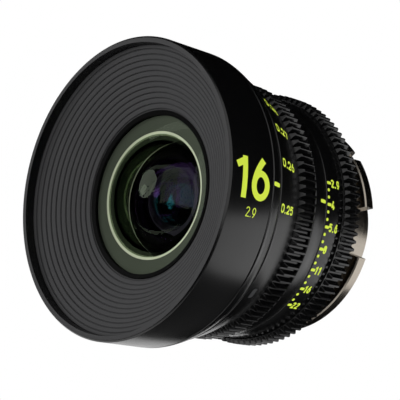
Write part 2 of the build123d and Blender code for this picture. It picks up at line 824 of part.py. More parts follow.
with BuildPart() as iris_housing:
    with BuildSketch(Plane.XY):
        with BuildLine():
            Polyline(
                (stop_radius, housing_front_y),
                (tube_bore, housing_front_y),
                (tube_bore, cam_front_y - seam),
                (tube_bore - housing_wall, cam_front_y - seam),
                (tube_bore - housing_wall, housing_front_y + housing_thickness),
                (stop_radius, housing_front_y + housing_thickness),
                close=True,
            )
        make_face()
    revolve(axis=Axis.Y)
    with BuildSketch(station(housing_front_y)):
        with PolarLocations(pivot_circle, blade_count):
            Circle(pivot_radius + running_gap)
    extrude(amount=-housing_thickness, mode=Mode.SUBTRACT)
finish(iris_housing, "iris_housing")

# Each blade is a curved leaf with a pivot pin in the housing and a peg in the cam ring
leaf_first_angle = -8
leaf_last_angle = 85
leaf_middle_radius = blade_open_radius + blade_band_width / 2
open_arm_angle = -90 - blade_swing / 2
open_arm = polar_point(arm_length, open_arm_angle)
open_peg = (pivot_circle + open_arm[0], open_arm[1])


def turned(point, angle):
    """Turn a point about the axis."""
    size = hypot(point[0], point[1])
    return polar_point(size, degrees(atan2(point[1], point[0])) + angle)


def swung(point, closing, spin):
    """Close the first blade about its pivot, then turn the point to the place of another blade."""
    arm = turned((point[0] - pivot_circle, point[1]), closing)
    return turned((pivot_circle + arm[0], arm[1]), spin)


def bar(start, end, width):
    """Draw a bar with round ends between two points of the sketch."""
    middle = ((start[0] + end[0]) / 2, (start[1] + end[1]) / 2)
    run = (end[0] - start[0], end[1] - start[1])
    with Locations(Location((*middle, 0))):
        SlotCenterToCenter(hypot(run[0], run[1]), width, rotation=degrees(atan2(run[1], run[0])))


for blade_index, blade_spin in enumerate(spread(blade_count)):
    blade_y = first_blade_y + blade_index * blade_pitch
    pivot_point = swung((pivot_circle, 0), blade_rest, blade_spin)
    peg_point = swung(open_peg, blade_rest, blade_spin)
    root_point = swung((leaf_middle_radius, 0), blade_rest, blade_spin)
    leaf_angles = (leaf_first_angle, (leaf_first_angle + leaf_last_angle) / 2, leaf_last_angle)
    open_leaf = [polar_point(leaf_middle_radius, angle) for angle in leaf_angles]
    leaf_points = [swung(point, blade_rest, blade_spin) for point in open_leaf]
    with BuildPart() as iris_blade:
        with BuildSketch(station(blade_y)):
            with BuildLine() as leaf_line:
                ThreePointArc(*leaf_points)
            SlotArc(leaf_line.edge(), blade_band_width)
            bar(root_point, pivot_point, lobe_width)
            bar(pivot_point, peg_point, arm_width)
        extrude(amount=-blade_thickness)
        with BuildSketch(station(blade_y)):
            with Locations(Location((*pivot_point, 0))):
                Circle(pivot_radius)
        extrude(amount=blade_y - housing_front_y - seam)
        with BuildSketch(station(blade_y + blade_thickness)):
            with Locations(Location((*peg_point, 0))):
                Circle(pivot_radius)
        extrude(amount=blade_y + blade_thickness + seam - cam_front_y - cam_thickness)
    finish(iris_blade, f"iris_blade_{blade_index + 1}")

# Cam ring: nine spiral slots that follow the pegs through the whole throw
cam_bore = stop_radius + 1.7
slot_steps = 6
slot_width = 2 * (pivot_radius + running_gap)

with BuildPart() as iris_cam_ring:
    with BuildSketch(station(cam_front_y)):
        Circle(cell_body_radius)
        Circle(cam_bore, mode=Mode.SUBTRACT)
        for slot_spin in spread(blade_count):
            slot_points = []
            for step in range(slot_steps + 1):
                ring_turn = iris_throw * step / slot_steps
                slot_turn = slot_spin - ring_turn + iris_rest
                slot_points.append(swung(open_peg, ring_turn * blade_ratio, slot_turn))
            with BuildLine():
                slot_line = Spline(*slot_points)
            trace(slot_line, slot_width, mode=Mode.SUBTRACT)
            for slot_end in (slot_points[0], slot_points[-1]):
                with Locations(Location((*slot_end, 0))):
                    Circle(slot_width / 2, mode=Mode.SUBTRACT)
    extrude(amount=-cam_thickness)
    for angle in spread(drive_count, drive_first_angle):
        with BuildSketch(radial_plane(angle, drive_pin_y, drive_pin_inner_radius - running_gap)):
            Circle(drive_pin_radius)
        extrude(amount=tube_radius - drive_pin_inner_radius, mode=Mode.SUBTRACT)
finish(iris_cam_ring, "iris_cam_ring")

# Rear lens cell: it holds the relay pair from the front and the rear elements from behind
relay_front_edge = front_of("relay_front_element", focus_glass_radius - ring_width)
relay_back_edge = back_of("relay_back_element", focus_glass_radius)
rear_seat_y = front_of("rear_front_element", rear_glass_radius - ledge)
spacer_front_y = back_of("rear_front_element", rear_glass_radius - ring_width)
spacer_back_y = front_of("rear_back_element", rear_glass_radius - ring_width)
rear_glass_back = back_of("rear_back_element", rear_glass_radius - ring_width)
rear_cell_flange = 2.2
rear_cell_front_y = cam_front_y + cam_thickness + 0.5
rear_cell_shoulder_y = seat_y + 10.0
rear_cell_step = (rear_glass_radius + 7.5, rear_cell_shoulder_y + 4.0)
rear_cell_tail_radius = rear_glass_radius + 4.6
rear_cell_back_y = rear_glass_back + 2.6
rear_edge_cut = 0.5

with BuildPart() as rear_cell:
    with BuildSketch(Plane.XY):
        with BuildLine():
            Polyline(
                (focus_glass_radius + glass_gap, rear_cell_front_y),
                (cell_body_radius, rear_cell_front_y),
                (cell_body_radius, rear_cell_front_y + rear_cell_flange),
                (rear_cell_radius, rear_cell_front_y + rear_cell_flange),
                (rear_cell_radius, rear_cell_shoulder_y),
                rear_cell_step,
                (rear_cell_tail_radius + rear_edge_cut, rear_cell_back_y - rear_edge_cut),
                (rear_cell_tail_radius, rear_cell_back_y),
                (rear_glass_radius + glass_gap, rear_cell_back_y),
                (rear_glass_radius + glass_gap, rear_seat_y),
                (rear_glass_radius - ledge, rear_seat_y),
                (focus_glass_radius - ledge, relay_back_edge),
                (focus_glass_radius + glass_gap, relay_back_edge),
                close=True,
            )
        make_face()
    revolve(axis=Axis.Y)
    for angle in spread(cell_pin_count, key_first_angle):
        with BuildSketch(radial_plane(angle, cell_pin_y, tube_bore - housing_wall)):
            Circle(cell_pin_radius)
        extrude(amount=housing_wall + overrun, mode=Mode.SUBTRACT)
finish(rear_cell, "rear_cell")

with BuildPart() as rear_cell_screws:
    for angle in spread(cell_pin_count, key_first_angle):
        with BuildSketch(radial_plane(angle, cell_pin_y, tube_bore - housing_wall)):
            Circle(cell_pin_radius - running_gap)
        extrude(amount=housing_wall + tube_wall - edge_cut)
finish(rear_cell_screws, "rear_cell_screws")

with BuildPart() as relay_retaining_ring:
    relay_ring_length = 1.8
    with BuildSketch(station(relay_front_edge - seat_gap)):
        Circle(focus_glass_radius)
        Circle(focus_glass_radius - ring_width, mode=Mode.SUBTRACT)
    extrude(amount=relay_ring_length)
finish(relay_retaining_ring, "relay_retaining_ring")

with BuildPart() as rear_spacer:
    with BuildSketch(station(spacer_front_y + seat_gap)):
        Circle(rear_glass_radius)
        Circle(rear_glass_radius - ring_width, mode=Mode.SUBTRACT)
    extrude(amount=spacer_front_y - spacer_back_y + seat_gap * 2)
finish(rear_spacer, "rear_spacer")

with BuildPart() as rear_retaining_ring:
    rear_ring_length = 2.0
    with BuildSketch(station(rear_glass_back + seat_gap)):
        Circle(rear_glass_radius)
        Circle(rear_glass_radius - ring_width, mode=Mode.SUBTRACT)
    extrude(amount=-rear_ring_length)
finish(rear_retaining_ring, "rear_retaining_ring")

# Rear barrel: the black collar between the iris gear and the mount
neck_radius = register_radius + 5.0
collar_radius = gear_root_radius - 2.6
collar_length = 2.0
collar_slope_length = 2.3
barrel_waist_radius = neck_radius + 1.5
barrel_head_depth = 2.2
barrel_head_seat_y = rear_barrel_back_y - barrel_head_depth
flange_screw_count = 4
flange_screw_first_angle = 36
flange_screw_circle = (register_radius + neck_radius) / 2
flange_screw_length = 12.0

with BuildPart() as rear_barrel:
    with BuildSketch(Plane.XY):
        with BuildLine():
            Polyline(
                (rear_cell_radius + running_gap, tube_back_y),
                (collar_radius, tube_back_y),
                (collar_radius, tube_back_y + collar_length),
                (barrel_waist_radius, tube_back_y + collar_length + collar_slope_length),
                (barrel_waist_radius, rear_barrel_back_y),
                (rear_cell_radius + running_gap, rear_barrel_back_y),
                close=True,
            )
        make_face()
    revolve(axis=Axis.Y)
    with BuildSketch(station(tube_back_y)):
        with PolarLocations(barrel_screw_circle, barrel_screw_count, barrel_screw_first_angle):
            Circle(small_screw_radius)
    extrude(amount=tube_back_y - rear_barrel_back_y, mode=Mode.SUBTRACT)
    with BuildSketch(station(barrel_head_seat_y)):
        with PolarLocations(barrel_screw_circle, barrel_screw_count, barrel_screw_first_angle):
            Circle(small_head_radius + running_gap)
    extrude(amount=-barrel_head_depth, mode=Mode.SUBTRACT)
    with BuildSketch(station(rear_barrel_back_y)):
        with PolarLocations(flange_screw_circle, flange_screw_count, flange_screw_first_angle):
            Circle(small_screw_radius)
    extrude(amount=flange_screw_length + rear_barrel_back_y, mode=Mode.SUBTRACT)
finish(rear_barrel, "rear_barrel")

with BuildPart() as rear_barrel_screws:
    for angle in spread(barrel_screw_count, barrel_screw_first_angle):
        with BuildSketch(station(barrel_head_seat_y)):
            with Locations(spot(barrel_screw_circle, angle)):
                Circle(small_head_radius)
        extrude(amount=-screw_head_height)
        with BuildSketch(station(barrel_head_seat_y)):
            with Locations(spot(barrel_screw_circle, angle)):
                Circle(small_screw_radius - running_gap)
        extrude(amount=barrel_head_seat_y - tube_web_front_y - edge_cut)
        with BuildSketch(station(barrel_head_seat_y + screw_head_height)):
            with Locations(spot(barrel_screw_circle, angle)):
                RegularPolygon(socket_radius, 6)
        extrude(amount=socket_depth, mode=Mode.SUBTRACT)
finish(rear_barrel_screws, "rear_barrel_screws")

# Mount flange: a steel plate with four wings in front of the register cylinder
wing_radius = wing_diameter / 2
wing_count = 4
wing_gap_angle = 27
wing_gap_middle = -9
wing_edge = 0.4
register_length = 9.0
shim_thickness = 0.3
neck_front_y = rear_barrel_back_y + shim_thickness
flange_head_depth = 1.2
notch_width = 4.0
notch_depth = 2.0

with BuildPart() as mount_flange:
    with BuildSketch(Plane.XY):
        with BuildLine():
            Polyline(
                (register_bore, neck_front_y),
                (neck_radius, neck_front_y),
                (neck_radius, wing_front_y),
                (wing_radius - wing_edge, wing_front_y),
                (wing_radius, wing_front_y + wing_edge),
                (wing_radius, seat_y - wing_edge),
                (wing_radius - wing_edge, seat_y),
                (register_radius, seat_y),
                (register_radius, register_length - wing_edge),
                (register_radius - wing_edge, register_length),
                (register_bore, register_length),
                close=True,
            )
        make_face()
    revolve(axis=Axis.Y)
    # Gaps between the wings
    for angle in spread(wing_count, wing_gap_middle):
        with BuildSketch(station(wing_front_y - overrun)):
            with BuildLine():
                sector(neck_radius, wing_radius + overrun, angle - wing_gap_angle / 2, wing_gap_angle)
            make_face()
        extrude(amount=-wing_thickness - overrun * 2, mode=Mode.SUBTRACT)
    # Locating notch for the pin of the camera's mount
    wing_middle_y = seat_y - wing_thickness / 2
    notch_plane = radial_plane(flange_screw_first_angle, wing_middle_y, wing_radius - notch_depth)
    with BuildSketch(notch_plane):
        Rectangle(wing_thickness + overrun * 2, notch_width)
    extrude(amount=notch_depth + overrun, mode=Mode.SUBTRACT)
    # Counterbored holes for the flange screws
    with BuildSketch(station(seat_y)):
        with PolarLocations(flange_screw_circle, flange_screw_count, flange_screw_first_angle):
            Circle(small_screw_radius + running_gap)
    extrude(amount=seat_y - neck_front_y, mode=Mode.SUBTRACT)
    with BuildSketch(station(seat_y)):
        with PolarLocations(flange_screw_circle, flange_screw_count, flange_screw_first_angle):
            Circle(small_head_radius + running_gap)
    extrude(amount=flange_head_depth + seat_gap, mode=Mode.SUBTRACT)
finish(mount_flange, "mount_flange")

with BuildPart() as mount_flange_screws:
    for angle in spread(flange_screw_count, flange_screw_first_angle):
        with BuildSketch(station(seat_y - seat_gap)):
            with Locations(spot(flange_screw_circle, angle)):
                Circle(small_head_radius)
        extrude(amount=flange_head_depth)
        with BuildSketch(station(seat_y - seat_gap)):
            with Locations(spot(flange_screw_circle, angle)):
                Circle(small_screw_radius - running_gap)
        extrude(amount=flange_screw_length - edge_cut)
        with BuildSketch(station(seat_y - seat_gap)):
            with Locations(spot(flange_screw_circle, angle)):
                RegularPolygon(socket_radius, 6)
        extrude(amount=socket_depth, mode=Mode.SUBTRACT)
finish(mount_flange_screws, "mount_flange_screws")

with BuildPart() as flange_shim:
    with BuildSketch(station(rear_barrel_back_y)):
        Circle(neck_radius)
        Circle(register_bore, mode=Mode.SUBTRACT)
        with PolarLocations(flange_screw_circle, flange_screw_count, flange_screw_first_angle):
            Circle(small_screw_radius + running_gap, mode=Mode.SUBTRACT)
    extrude(amount=-shim_thickness)
finish(flange_shim, "flange_shim")
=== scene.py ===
# Looks of a wide cinema prime lens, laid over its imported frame.
# The optical axis is Y, the front looks toward -Y, the index marks stand at +X and +Z is up.
# Sizes are written in millimetres, and millimetres become metres where a mesh is made. Only the
# studio's lamps, cards and floor are written in metres.

import logging
from dataclasses import dataclass
from enum import Enum

import bpy
import numpy as np
from mathutils import Matrix, Vector


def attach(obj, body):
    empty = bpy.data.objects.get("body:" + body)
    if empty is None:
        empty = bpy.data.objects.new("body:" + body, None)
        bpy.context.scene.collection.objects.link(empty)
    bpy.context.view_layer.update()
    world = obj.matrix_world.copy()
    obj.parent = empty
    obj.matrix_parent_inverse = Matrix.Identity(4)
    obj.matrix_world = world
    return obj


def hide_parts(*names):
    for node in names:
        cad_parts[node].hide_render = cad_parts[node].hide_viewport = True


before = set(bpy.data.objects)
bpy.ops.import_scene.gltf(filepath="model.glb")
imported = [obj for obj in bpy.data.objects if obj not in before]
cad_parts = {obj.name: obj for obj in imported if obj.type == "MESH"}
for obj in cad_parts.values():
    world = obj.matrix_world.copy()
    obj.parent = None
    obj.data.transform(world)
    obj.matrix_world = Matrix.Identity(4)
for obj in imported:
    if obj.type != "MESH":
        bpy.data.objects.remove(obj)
log = logging.getLogger("cinema_lens")

MM = 0.001
RING_STEPS = 288
ROUND_STEPS = 3
# A corner whose two runs have this cosine between them or less is too shallow to round
SHALLOW = -0.94
# How far marks stand over the metal, and how far figures reach down into it
MARK_LIFT, MARK_DEPTH = 0.03, 0.06
# Scale of the faint patches that handling leaves in a sheen, some 9 mm across
PATCH_SCALE = 110.0
# Edges of teeth sharper than this many degrees stay sharp
TOOTH_CREASE = 28.0
# Keeps the end cones of a toothed ring just inside the roots of its teeth
SLIVER = 0.001
# The finishes of an element's faces, by number
GLASS, EDGE, BEVEL, BACKING = range(4)

Outline = tuple[tuple[float, float], ...]
Place = tuple[float, float, float]
# Points and the point numbers of each face
Shape = tuple[np.ndarray, np.ndarray | list]
# Length along the axis, width round it and squareness of a raised tile
Tile = tuple[float, float, float]
# Angle in degrees and station of a mark
Spot = tuple[float, float]


def linear(hex_colour: str) -> tuple[float, float, float, float]:
    """Turn an sRGB hex colour into the linear value that a shader takes.

    Args:
        hex_colour: six hex digits.

    Returns:
        Red, green, blue and an alpha of 1.
    """
    share = np.array([int(hex_colour[i:i + 2], 16) for i in (0, 2, 4)]) / 255.0
    value = np.where(share <= 0.04045, share / 12.92, ((share + 0.055) / 1.055) ** 2.4)
    return (float(value[0]), float(value[1]), float(value[2]), 1.0)


def add_node(tree: bpy.types.NodeTree, kind: str, settings: dict | None = None,
             links: dict | None = None) -> bpy.types.Node:
    """Add a node to a tree, set it up and join its inputs.

    Args:
        tree: the node tree that takes the node.
        kind: the node's type name.
        settings: values by property name, or by input name or number.
        links: output sockets by the input name or number that they feed.

    Returns:
        The new node.
    """
    node = tree.nodes.new(kind)
    for key, value in (settings or {}).items():
        if isinstance(key, str) and hasattr(node, key):
            setattr(node, key, value)
        else:
            node.inputs[key].default_value = value
    for key, socket in (links or {}).items():
        tree.links.new(socket, node.inputs[key])
    return node


def seen_by(tree: bpy.types.NodeTree, *rays: str) -> bpy.types.NodeSocket:
    """Tell whether a ray is of one of some kinds.

    Args:
        tree: the tree that takes the nodes.
        rays: Light Path's names of the kinds.

    Returns:
        An output that is 1 for those rays and 0 for all others.
    """
    path = add_node(tree, "ShaderNodeLightPath")
    seen = path.outputs[rays[0]]
    for ray in rays[1:]:
        seen = add_node(tree, "ShaderNodeMath", {"operation": "MAXIMUM"},
                        {0: seen, 1: path.outputs[ray]}).outputs[0]
    return seen


def noise_scale(size: float) -> float:
    """Return the scale of a noise whose grains are this many millimetres wide."""
    return 0.5 / (size * MM)


def turning_marks(tree: bpy.types.NodeTree, pitch: float, height: float) -> bpy.types.NodeSocket:
    """Make the fine rings that a lathe tool leaves round the optical axis, as a bumped normal.

    The height is noise of the distance from the axis and of the station along it, so it is the
    same all the way round, on a face as on a cylinder.

    Args:
        tree: the tree that takes the nodes.
        pitch: distance between marks in millimetres.
        height: depth of the marks in millimetres.

    Returns:
        The normal output.
    """
    place = add_node(tree, "ShaderNodeTexCoord")
    parts = add_node(tree, "ShaderNodeSeparateXYZ", links={0: place.outputs["Object"]})
    x, y, z = parts.outputs
    flat = add_node(tree, "ShaderNodeCombineXYZ", links={0: x, 1: z})
    radius = add_node(tree, "ShaderNodeVectorMath", {"operation": "LENGTH"}, {0: flat.outputs[0]})
    ring = add_node(tree, "ShaderNodeCombineXYZ", links={0: radius.outputs["Value"], 1: y})
    noise = add_node(tree, "ShaderNodeTexNoise",
                     {"Scale": noise_scale(pitch), "Detail": 2.0, "Roughness": 0.6},
                     {"Vector": ring.outputs[0]})
    bump = add_node(tree, "ShaderNodeBump", {"Strength": 1.0, "Distance": height * MM},
                    {"Height": noise.outputs[0]})
    return bump.outputs["Normal"]


@dataclass(frozen=True)
class TurnedMetal:
    """A turned metal or dyed anodised finish, with lathe marks round the axis.

    Dyed anodised aluminium gives the eye a deep even black with a soft satin sheen, and turned
    steel or brass gives bright fine rings. The marks' pitch and height are in millimetres.
    """

    name: str
    colour: str
    metallic: float = 0.0
    roughness: float = 0.38
    shine: float = 0.5
    pitch: float = 0.22
    height: float = 0.004
    blotch: float = 0.06

    def surface(self, tree: bpy.types.NodeTree) -> bpy.types.Node:
        """Add the finish's nodes to a tree.

        Args:
            tree: the tree that takes the nodes.

        Returns:
            The shader node.
        """
        place = add_node(tree, "ShaderNodeTexCoord")
        patches = add_node(tree, "ShaderNodeTexNoise", {"Scale": PATCH_SCALE, "Detail": 3.0},
                           {"Vector": place.outputs["Object"]})
        sheen = add_node(tree, "ShaderNodeMapRange",
                         {"To Min": self.roughness - self.blotch,
                          "To Max": self.roughness + self.blotch}, {"Value": patches.outputs[0]})
        normal = turning_marks(tree, self.pitch, self.height)
        return add_node(tree, "ShaderNodeBsdfPrincipled",
                        {"Base Color": linear(self.colour), "Metallic": self.metallic,
                         "Specular IOR Level": self.shine},
                        {"Roughness": sheen.outputs[0], "Normal": normal})


@dataclass(frozen=True)
class CoatedGlass:
    """Optical glass with an anti-reflection coating.

    It gives the eye a clear dark depth with faint tinted reflections of the lamps.
    """

    name: str
    tint: str
    reflection: str
    strength: float

    def surface(self, tree: bpy.types.NodeTree) -> bpy.types.Node:
        """Add the glass's nodes to a tree.

        Args:
            tree: the tree that takes the nodes.

        Returns:
            The shader node.
        """
        through = add_node(tree, "ShaderNodeBsdfRefraction",
                           {"Color": linear(self.tint), "Roughness": 0.0, "IOR": 1.5})
        mirror = add_node(tree, "ShaderNodeBsdfGlossy",
                          {"Color": linear(self.reflection), "Roughness": 0.0})
        # The coating leaves only a share of what bare glass would reflect
        bare = add_node(tree, "ShaderNodeFresnel", {"IOR": 1.5})
        left = add_node(tree, "ShaderNodeMapRange", {"To Max": self.strength},
                        {"Value": bare.outputs[0]})
        glass = add_node(tree, "ShaderNodeMixShader", None,
                         {0: left.outputs[0], 1: through.outputs[0], 2: mirror.outputs[0]})
        # Light that the glass passes on to dull surfaces goes straight through it
        clear = add_node(tree, "ShaderNodeBsdfTransparent", {"Color": linear("F2F5F0")})
        path = add_node(tree, "ShaderNodeLightPath")
        straight = add_node(tree, "ShaderNodeMapRange", {"From Max": 1.0},
                            {"Value": path.outputs["Is Shadow Ray"],
                             "To Min": path.outputs["Is Diffuse Ray"]})
        return add_node(tree, "ShaderNodeMixShader", None,
                        {0: straight.outputs[0], 1: glass.outputs[0], 2: clear.outputs[0]})


@dataclass(frozen=True)
class MattCoat:
    """A matt coat, such as filled engraving paint, edge blacking, or a ground edge with a painted
    highlight.

    It gives the eye a flat colour with no clear highlight. The grain's width and depth are in
    millimetres.
    """

    name: str
    colour: str
    roughness: float = 0.6
    grain: float = 0.15
    depth: float = 0.02
    shine: float = 0.3

    def surface(self, tree: bpy.types.NodeTree) -> bpy.types.Node:
        """Add the coat's nodes to a tree.

        Args:
            tree: the tree that takes the nodes.

        Returns:
            The shader node.
        """
        place = add_node(tree, "ShaderNodeTexCoord")
        grit = add_node(tree, "ShaderNodeTexNoise",
                        {"Scale": noise_scale(self.grain), "Detail": 2.0},
                        {"Vector": place.outputs["Object"]})
        bump = add_node(tree, "ShaderNodeBump", {"Strength": 0.4, "Distance": self.depth * MM},
                        {"Height": grit.outputs[0]})
        return add_node(tree, "ShaderNodeBsdfPrincipled",
                        {"Base Color": linear(self.colour), "Roughness": self.roughness,
                         "Specular IOR Level": self.shine}, {"Normal": bump.outputs["Normal"]})


class Finish(Enum):
    """The finishes of this lens and its studio, by the place that shows them."""

    BARREL = TurnedMetal("black_anodised_barrel", "080809", roughness=0.24, blotch=0.03)
    RIM = TurnedMetal("black_anodised_rim_face", "3C3C3D", roughness=0.5, shine=0.35, height=0.003)
    BAFFLE = TurnedMetal("black_anodised_baffle", "434344", roughness=0.6, shine=0.12, height=0.003)
    INNER = TurnedMetal("black_anodised_inner", "0A0A0A", roughness=0.6, shine=0.12)
    CELL = MattCoat("matt_black_cell_paint", "040404", roughness=0.85, shine=0.0)
    # Black bore paint made lighter and violet: a painted reflection of the violet coating's veil,
    # on which the key light also falls
    BORE_VEIL = MattCoat("black_bore_paint_painted_veil", "35333B", roughness=0.8, shine=0.0)
    TEETH = TurnedMetal("black_anodised_teeth", "080809", roughness=0.26, blotch=0.03)
    FLANGE = TurnedMetal("stainless_steel_flange", "A29A8F", 1.0, 0.24, height=0.006)
    STEEL = TurnedMetal("plain_steel_screws", "A9A9A8", 1.0, 0.28, height=0.002)
    BRASS = TurnedMetal("turned_brass", "C9A35B", 1.0, 0.3)
    BLADE = MattCoat("blackened_spring_steel_blades", "121213", roughness=0.5)
    FRONT_GLASS = CoatedGlass("green_coated_front_glass", "FDFEFC", "D2E2C8", 0.45)
    SECOND_GLASS = CoatedGlass("violet_coated_glass", "F4F0F8", "9468CC", 0.7)
    INNER_GLASS = CoatedGlass("teal_coated_glass", "F6FAFB", "46C8BE", 0.85)
    REAR_GLASS = CoatedGlass("dark_teal_rear_glass", "8FA6A8", "8FC0E0", 0.3)
    EDGE = MattCoat("edge_blacking", "484D44", roughness=0.7, shine=0.0)
    # Ground bevel coated pale: a painted highlight where the edge of the bowl catches light
    GROUND_HIGHLIGHT = MattCoat("ground_bevel_painted_highlight", "C4C9B2", roughness=0.7, shine=0.0)
    MARK = MattCoat("yellow_green_engraving_paint", "E8FF46", roughness=0.55)
    DIM_MARK = MattCoat("dim_green_engraving_paint", "2F4A1E", roughness=0.55)
    GREY_MARK = MattCoat("grey_engraving_paint", "343537", roughness=0.55)
    CARD = MattCoat("black_card", "050505", roughness=0.9, grain=2.0, shine=0.1)
    FLOOR = MattCoat("pale_floor", "E9E9E9", roughness=0.9, grain=3.0)

    def material(self) -> bpy.types.Material:
        """Turn the finish into a material, once.

        Returns:
            The material.
        """
        material = bpy.data.materials.get(self.value.name)
        if material is None:
            material = bpy.data.materials.new(self.value.name)
            material.use_nodes = True
            tree = material.node_tree
            tree.nodes.clear()
            output = add_node(tree, "ShaderNodeOutputMaterial")
            tree.links.new(self.value.surface(tree).outputs[0], output.inputs["Surface"])
        return material


# ---------------------------------------------------------------- surfaces worked out with numpy


def arc_through(points: Outline, count: int) -> np.ndarray:
    """Return points on the circle through three points of a plane, from the first to the last.

    The centre is where the two chords' middle lines cross, and the angle runs evenly.

    Args:
        points: the three points in turn.
        count: number of points.

    Returns:
        The points, one row each.
    """
    a, b, c = np.array(points, float)
    rows = np.array([b - a, c - a])
    centre = np.linalg.solve(2 * rows, (np.array([b, c]) ** 2).sum(1) - (a ** 2).sum())
    angles = np.unwrap([np.arctan2(*(p - centre)[::-1]) for p in (a, b, c)])
    angle = np.linspace(angles[0], angles[2], count)
    return centre + np.linalg.norm(a - centre) * np.column_stack([np.cos(angle), np.sin(angle)])


def round_corners(outline: np.ndarray, size: float) -> np.ndarray:
    """Give each sharp corner of a closed outline a small round.

    A corner P becomes the curve (1-t)(1-t)A + 2t(1-t)P + t t B, where A and B lie on the two
    runs at the given distance from P, or at two fifths of a shorter run.

    Args:
        outline: the outline's points, one row each.
        size: distance from the corner to the ends of its round, in millimetres.

    Returns:
        The rounded outline.
    """
    before, after = np.roll(outline, 1, 0) - outline, np.roll(outline, -1, 0) - outline
    runs = [np.linalg.norm(v, axis=1, keepdims=True) for v in (before, after)]
    reach = np.minimum(size, 0.4 * np.minimum(*runs))
    sharp = (before * after).sum(1) / (runs[0] * runs[1])[:, 0] > SHALLOW
    t = np.linspace(0, 1, ROUND_STEPS + 1)[None, :, None]
    a = (outline + before / runs[0] * reach)[:, None]
    b = (outline + after / runs[1] * reach)[:, None]
    curve = (1 - t) ** 2 * a + 2 * t * (1 - t) * outline[:, None] + t ** 2 * b
    curve[~sharp, 0] = outline[~sharp]
    kept = np.ones(curve.shape[:2], bool)
    kept[~sharp, 1:] = False
    return curve[kept]


def counter_clockwise(outline: np.ndarray) -> np.ndarray:
    """Put a closed outline in the order that turns left, by the sign of its shoelace area.

    Args:
        outline: the outline's points, one row each.

    Returns:
        The points in that order.
    """
    x, y = outline.T
    area = (x * np.roll(y, -1) - np.roll(x, -1) * y).sum()
    return outline if area > 0 else outline[::-1]


def grid_faces(rows: int, columns: int, wrap_rows: bool, wrap_columns: bool) -> np.ndarray:
    """Return the four corners of each face of a grid, numbered row by row.

    Args:
        rows: number of rows of points.
        columns: number of points in a row.
        wrap_rows: whether the last row joins the first.
        wrap_columns: whether the last column joins the first.

    Returns:
        One row of four point numbers for each face.
    """
    i, j = np.meshgrid(np.arange(rows - (not wrap_rows)), np.arange(columns - (not wrap_columns)),
                       indexing="ij")
    i2, j2 = (i + 1) % rows, (j + 1) % columns
    corners = [row * columns + column for row, column in ((i, j), (i2, j), (i2, j2), (i, j2))]
    return np.stack(corners, -1).reshape(-1, 4)


def revolved(outline: np.ndarray, steps: int = RING_STEPS, closed: bool = True) -> Shape:
    """Carry an outline of radius and station round the optical axis.

    A point (r, y) at the angle a lies at (r cos a, y, r sin a).

    Args:
        outline: radius and station of each point, turning left.
        steps: number of steps round the axis.
        closed: whether the outline's last point joins its first.

    Returns:
        Points and faces.
    """
    angle = np.arange(steps) * 2 * np.pi / steps
    r, y = outline[:, 0][:, None], outline[:, 1][:, None]
    points = np.stack([r * np.cos(angle), y + 0 * angle, r * np.sin(angle)], -1).reshape(-1, 3)
    return points, grid_faces(len(outline), steps, closed, True)


def make_piece(name: str, shape: Shape, finishes: list[Finish], body: str,
               stands_for: tuple[str, ...] = (),
               crease: float = 32.0, face_finish: np.ndarray | None = None) -> None:
    """Turn points and faces into a piece that rides on a body.

    Args:
        name: the piece's name.
        shape: places in millimetres, one row each, and point numbers of each face.
        finishes: the piece's finishes.
        body: the frame's body that carries it.
        stands_for: frame nodes that it replaces.
        crease: edges sharper than this many degrees stay sharp.
        face_finish: number of each face's finish.
    """
    points, faces = shape
    mesh = bpy.data.meshes.new(name)
    mesh.from_pydata((np.asarray(points, float) * MM).tolist(), [],
                     faces.tolist() if isinstance(faces, np.ndarray) else faces)
    for finish in finishes:
        mesh.materials.append(finish.material())
    if face_finish is not None:
        mesh.polygons.foreach_set("material_index", np.asarray(face_finish, np.int32))
    mesh.polygons.foreach_set("use_smooth", np.ones(len(mesh.polygons), bool))
    mesh.set_sharp_from_angle(angle=np.radians(crease))
    mesh.update()
    piece = bpy.data.objects.new(name, mesh)
    bpy.context.scene.collection.objects.link(piece)
    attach(piece, body)
    if stands_for:
        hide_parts(*stands_for)
    log.info("%s: %d faces on %s", name, len(mesh.polygons), body)


def turned_piece(name: str, outline: Outline | np.ndarray, finish: Finish, body: str,
                 stands_for: tuple[str, ...] = (), edge: float = 0.12,
                 front: tuple[float, Finish] | None = None) -> None:
    """Make a turned piece from its closed outline of radius and station.

    Args:
        name: the piece's name.
        outline: radius and station of each corner, in millimetres.
        finish: its finish.
        body: the frame's body that carries it.
        stands_for: frame nodes that it replaces.
        edge: size of the rounds at its corners.
        front: a station and the finish of the faces that lie before it.
    """
    points, faces = revolved(round_corners(counter_clockwise(np.array(outline, float)), edge))
    finishes, ahead = [finish], None
    if front:
        finishes.append(front[1])
        ahead = points[faces][:, :, 1].mean(1) < front[0]
    make_piece(name, (points, faces), finishes, body, stands_for, face_finish=ahead)


def dress(finish: Finish, *nodes: str) -> None:
    """Give frame nodes a finish in place of the plain one.

    Args:
        finish: the finish.
        nodes: the nodes' names.
    """
    for node in nodes:
        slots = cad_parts[node].material_slots
        for place in slots:
            place.material = finish.material()
        if not slots:
            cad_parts[node].data.materials.append(finish.material())


# ---------------------------------------------------------------- marks on the rings


def wrapped(flat: np.ndarray, profile: np.ndarray, angle: float, station: float) -> np.ndarray:
    """Lay flat points on a turned surface.

    A flat point (u, v, h) goes to the station s + u, the angle a + v / r and the radius
    r(s + u) + lift + h, where r is the surface's own radius at that station.

    Args:
        flat: points with u along the axis, v round it and h outward, in millimetres.
        profile: station and radius of the surface, with rising stations.
        angle: the middle angle in degrees.
        station: the station where u is 0.

    Returns:
        The points in the frame.
    """
    y = station + flat[:, 0]
    surface = np.interp(y, profile[:, 0], profile[:, 1])
    turn = np.radians(angle) + flat[:, 1] / np.interp(station, profile[:, 0], profile[:, 1])
    radius = surface + MARK_LIFT + flat[:, 2]
    return np.column_stack([radius * np.cos(turn), y, radius * np.sin(turn)])


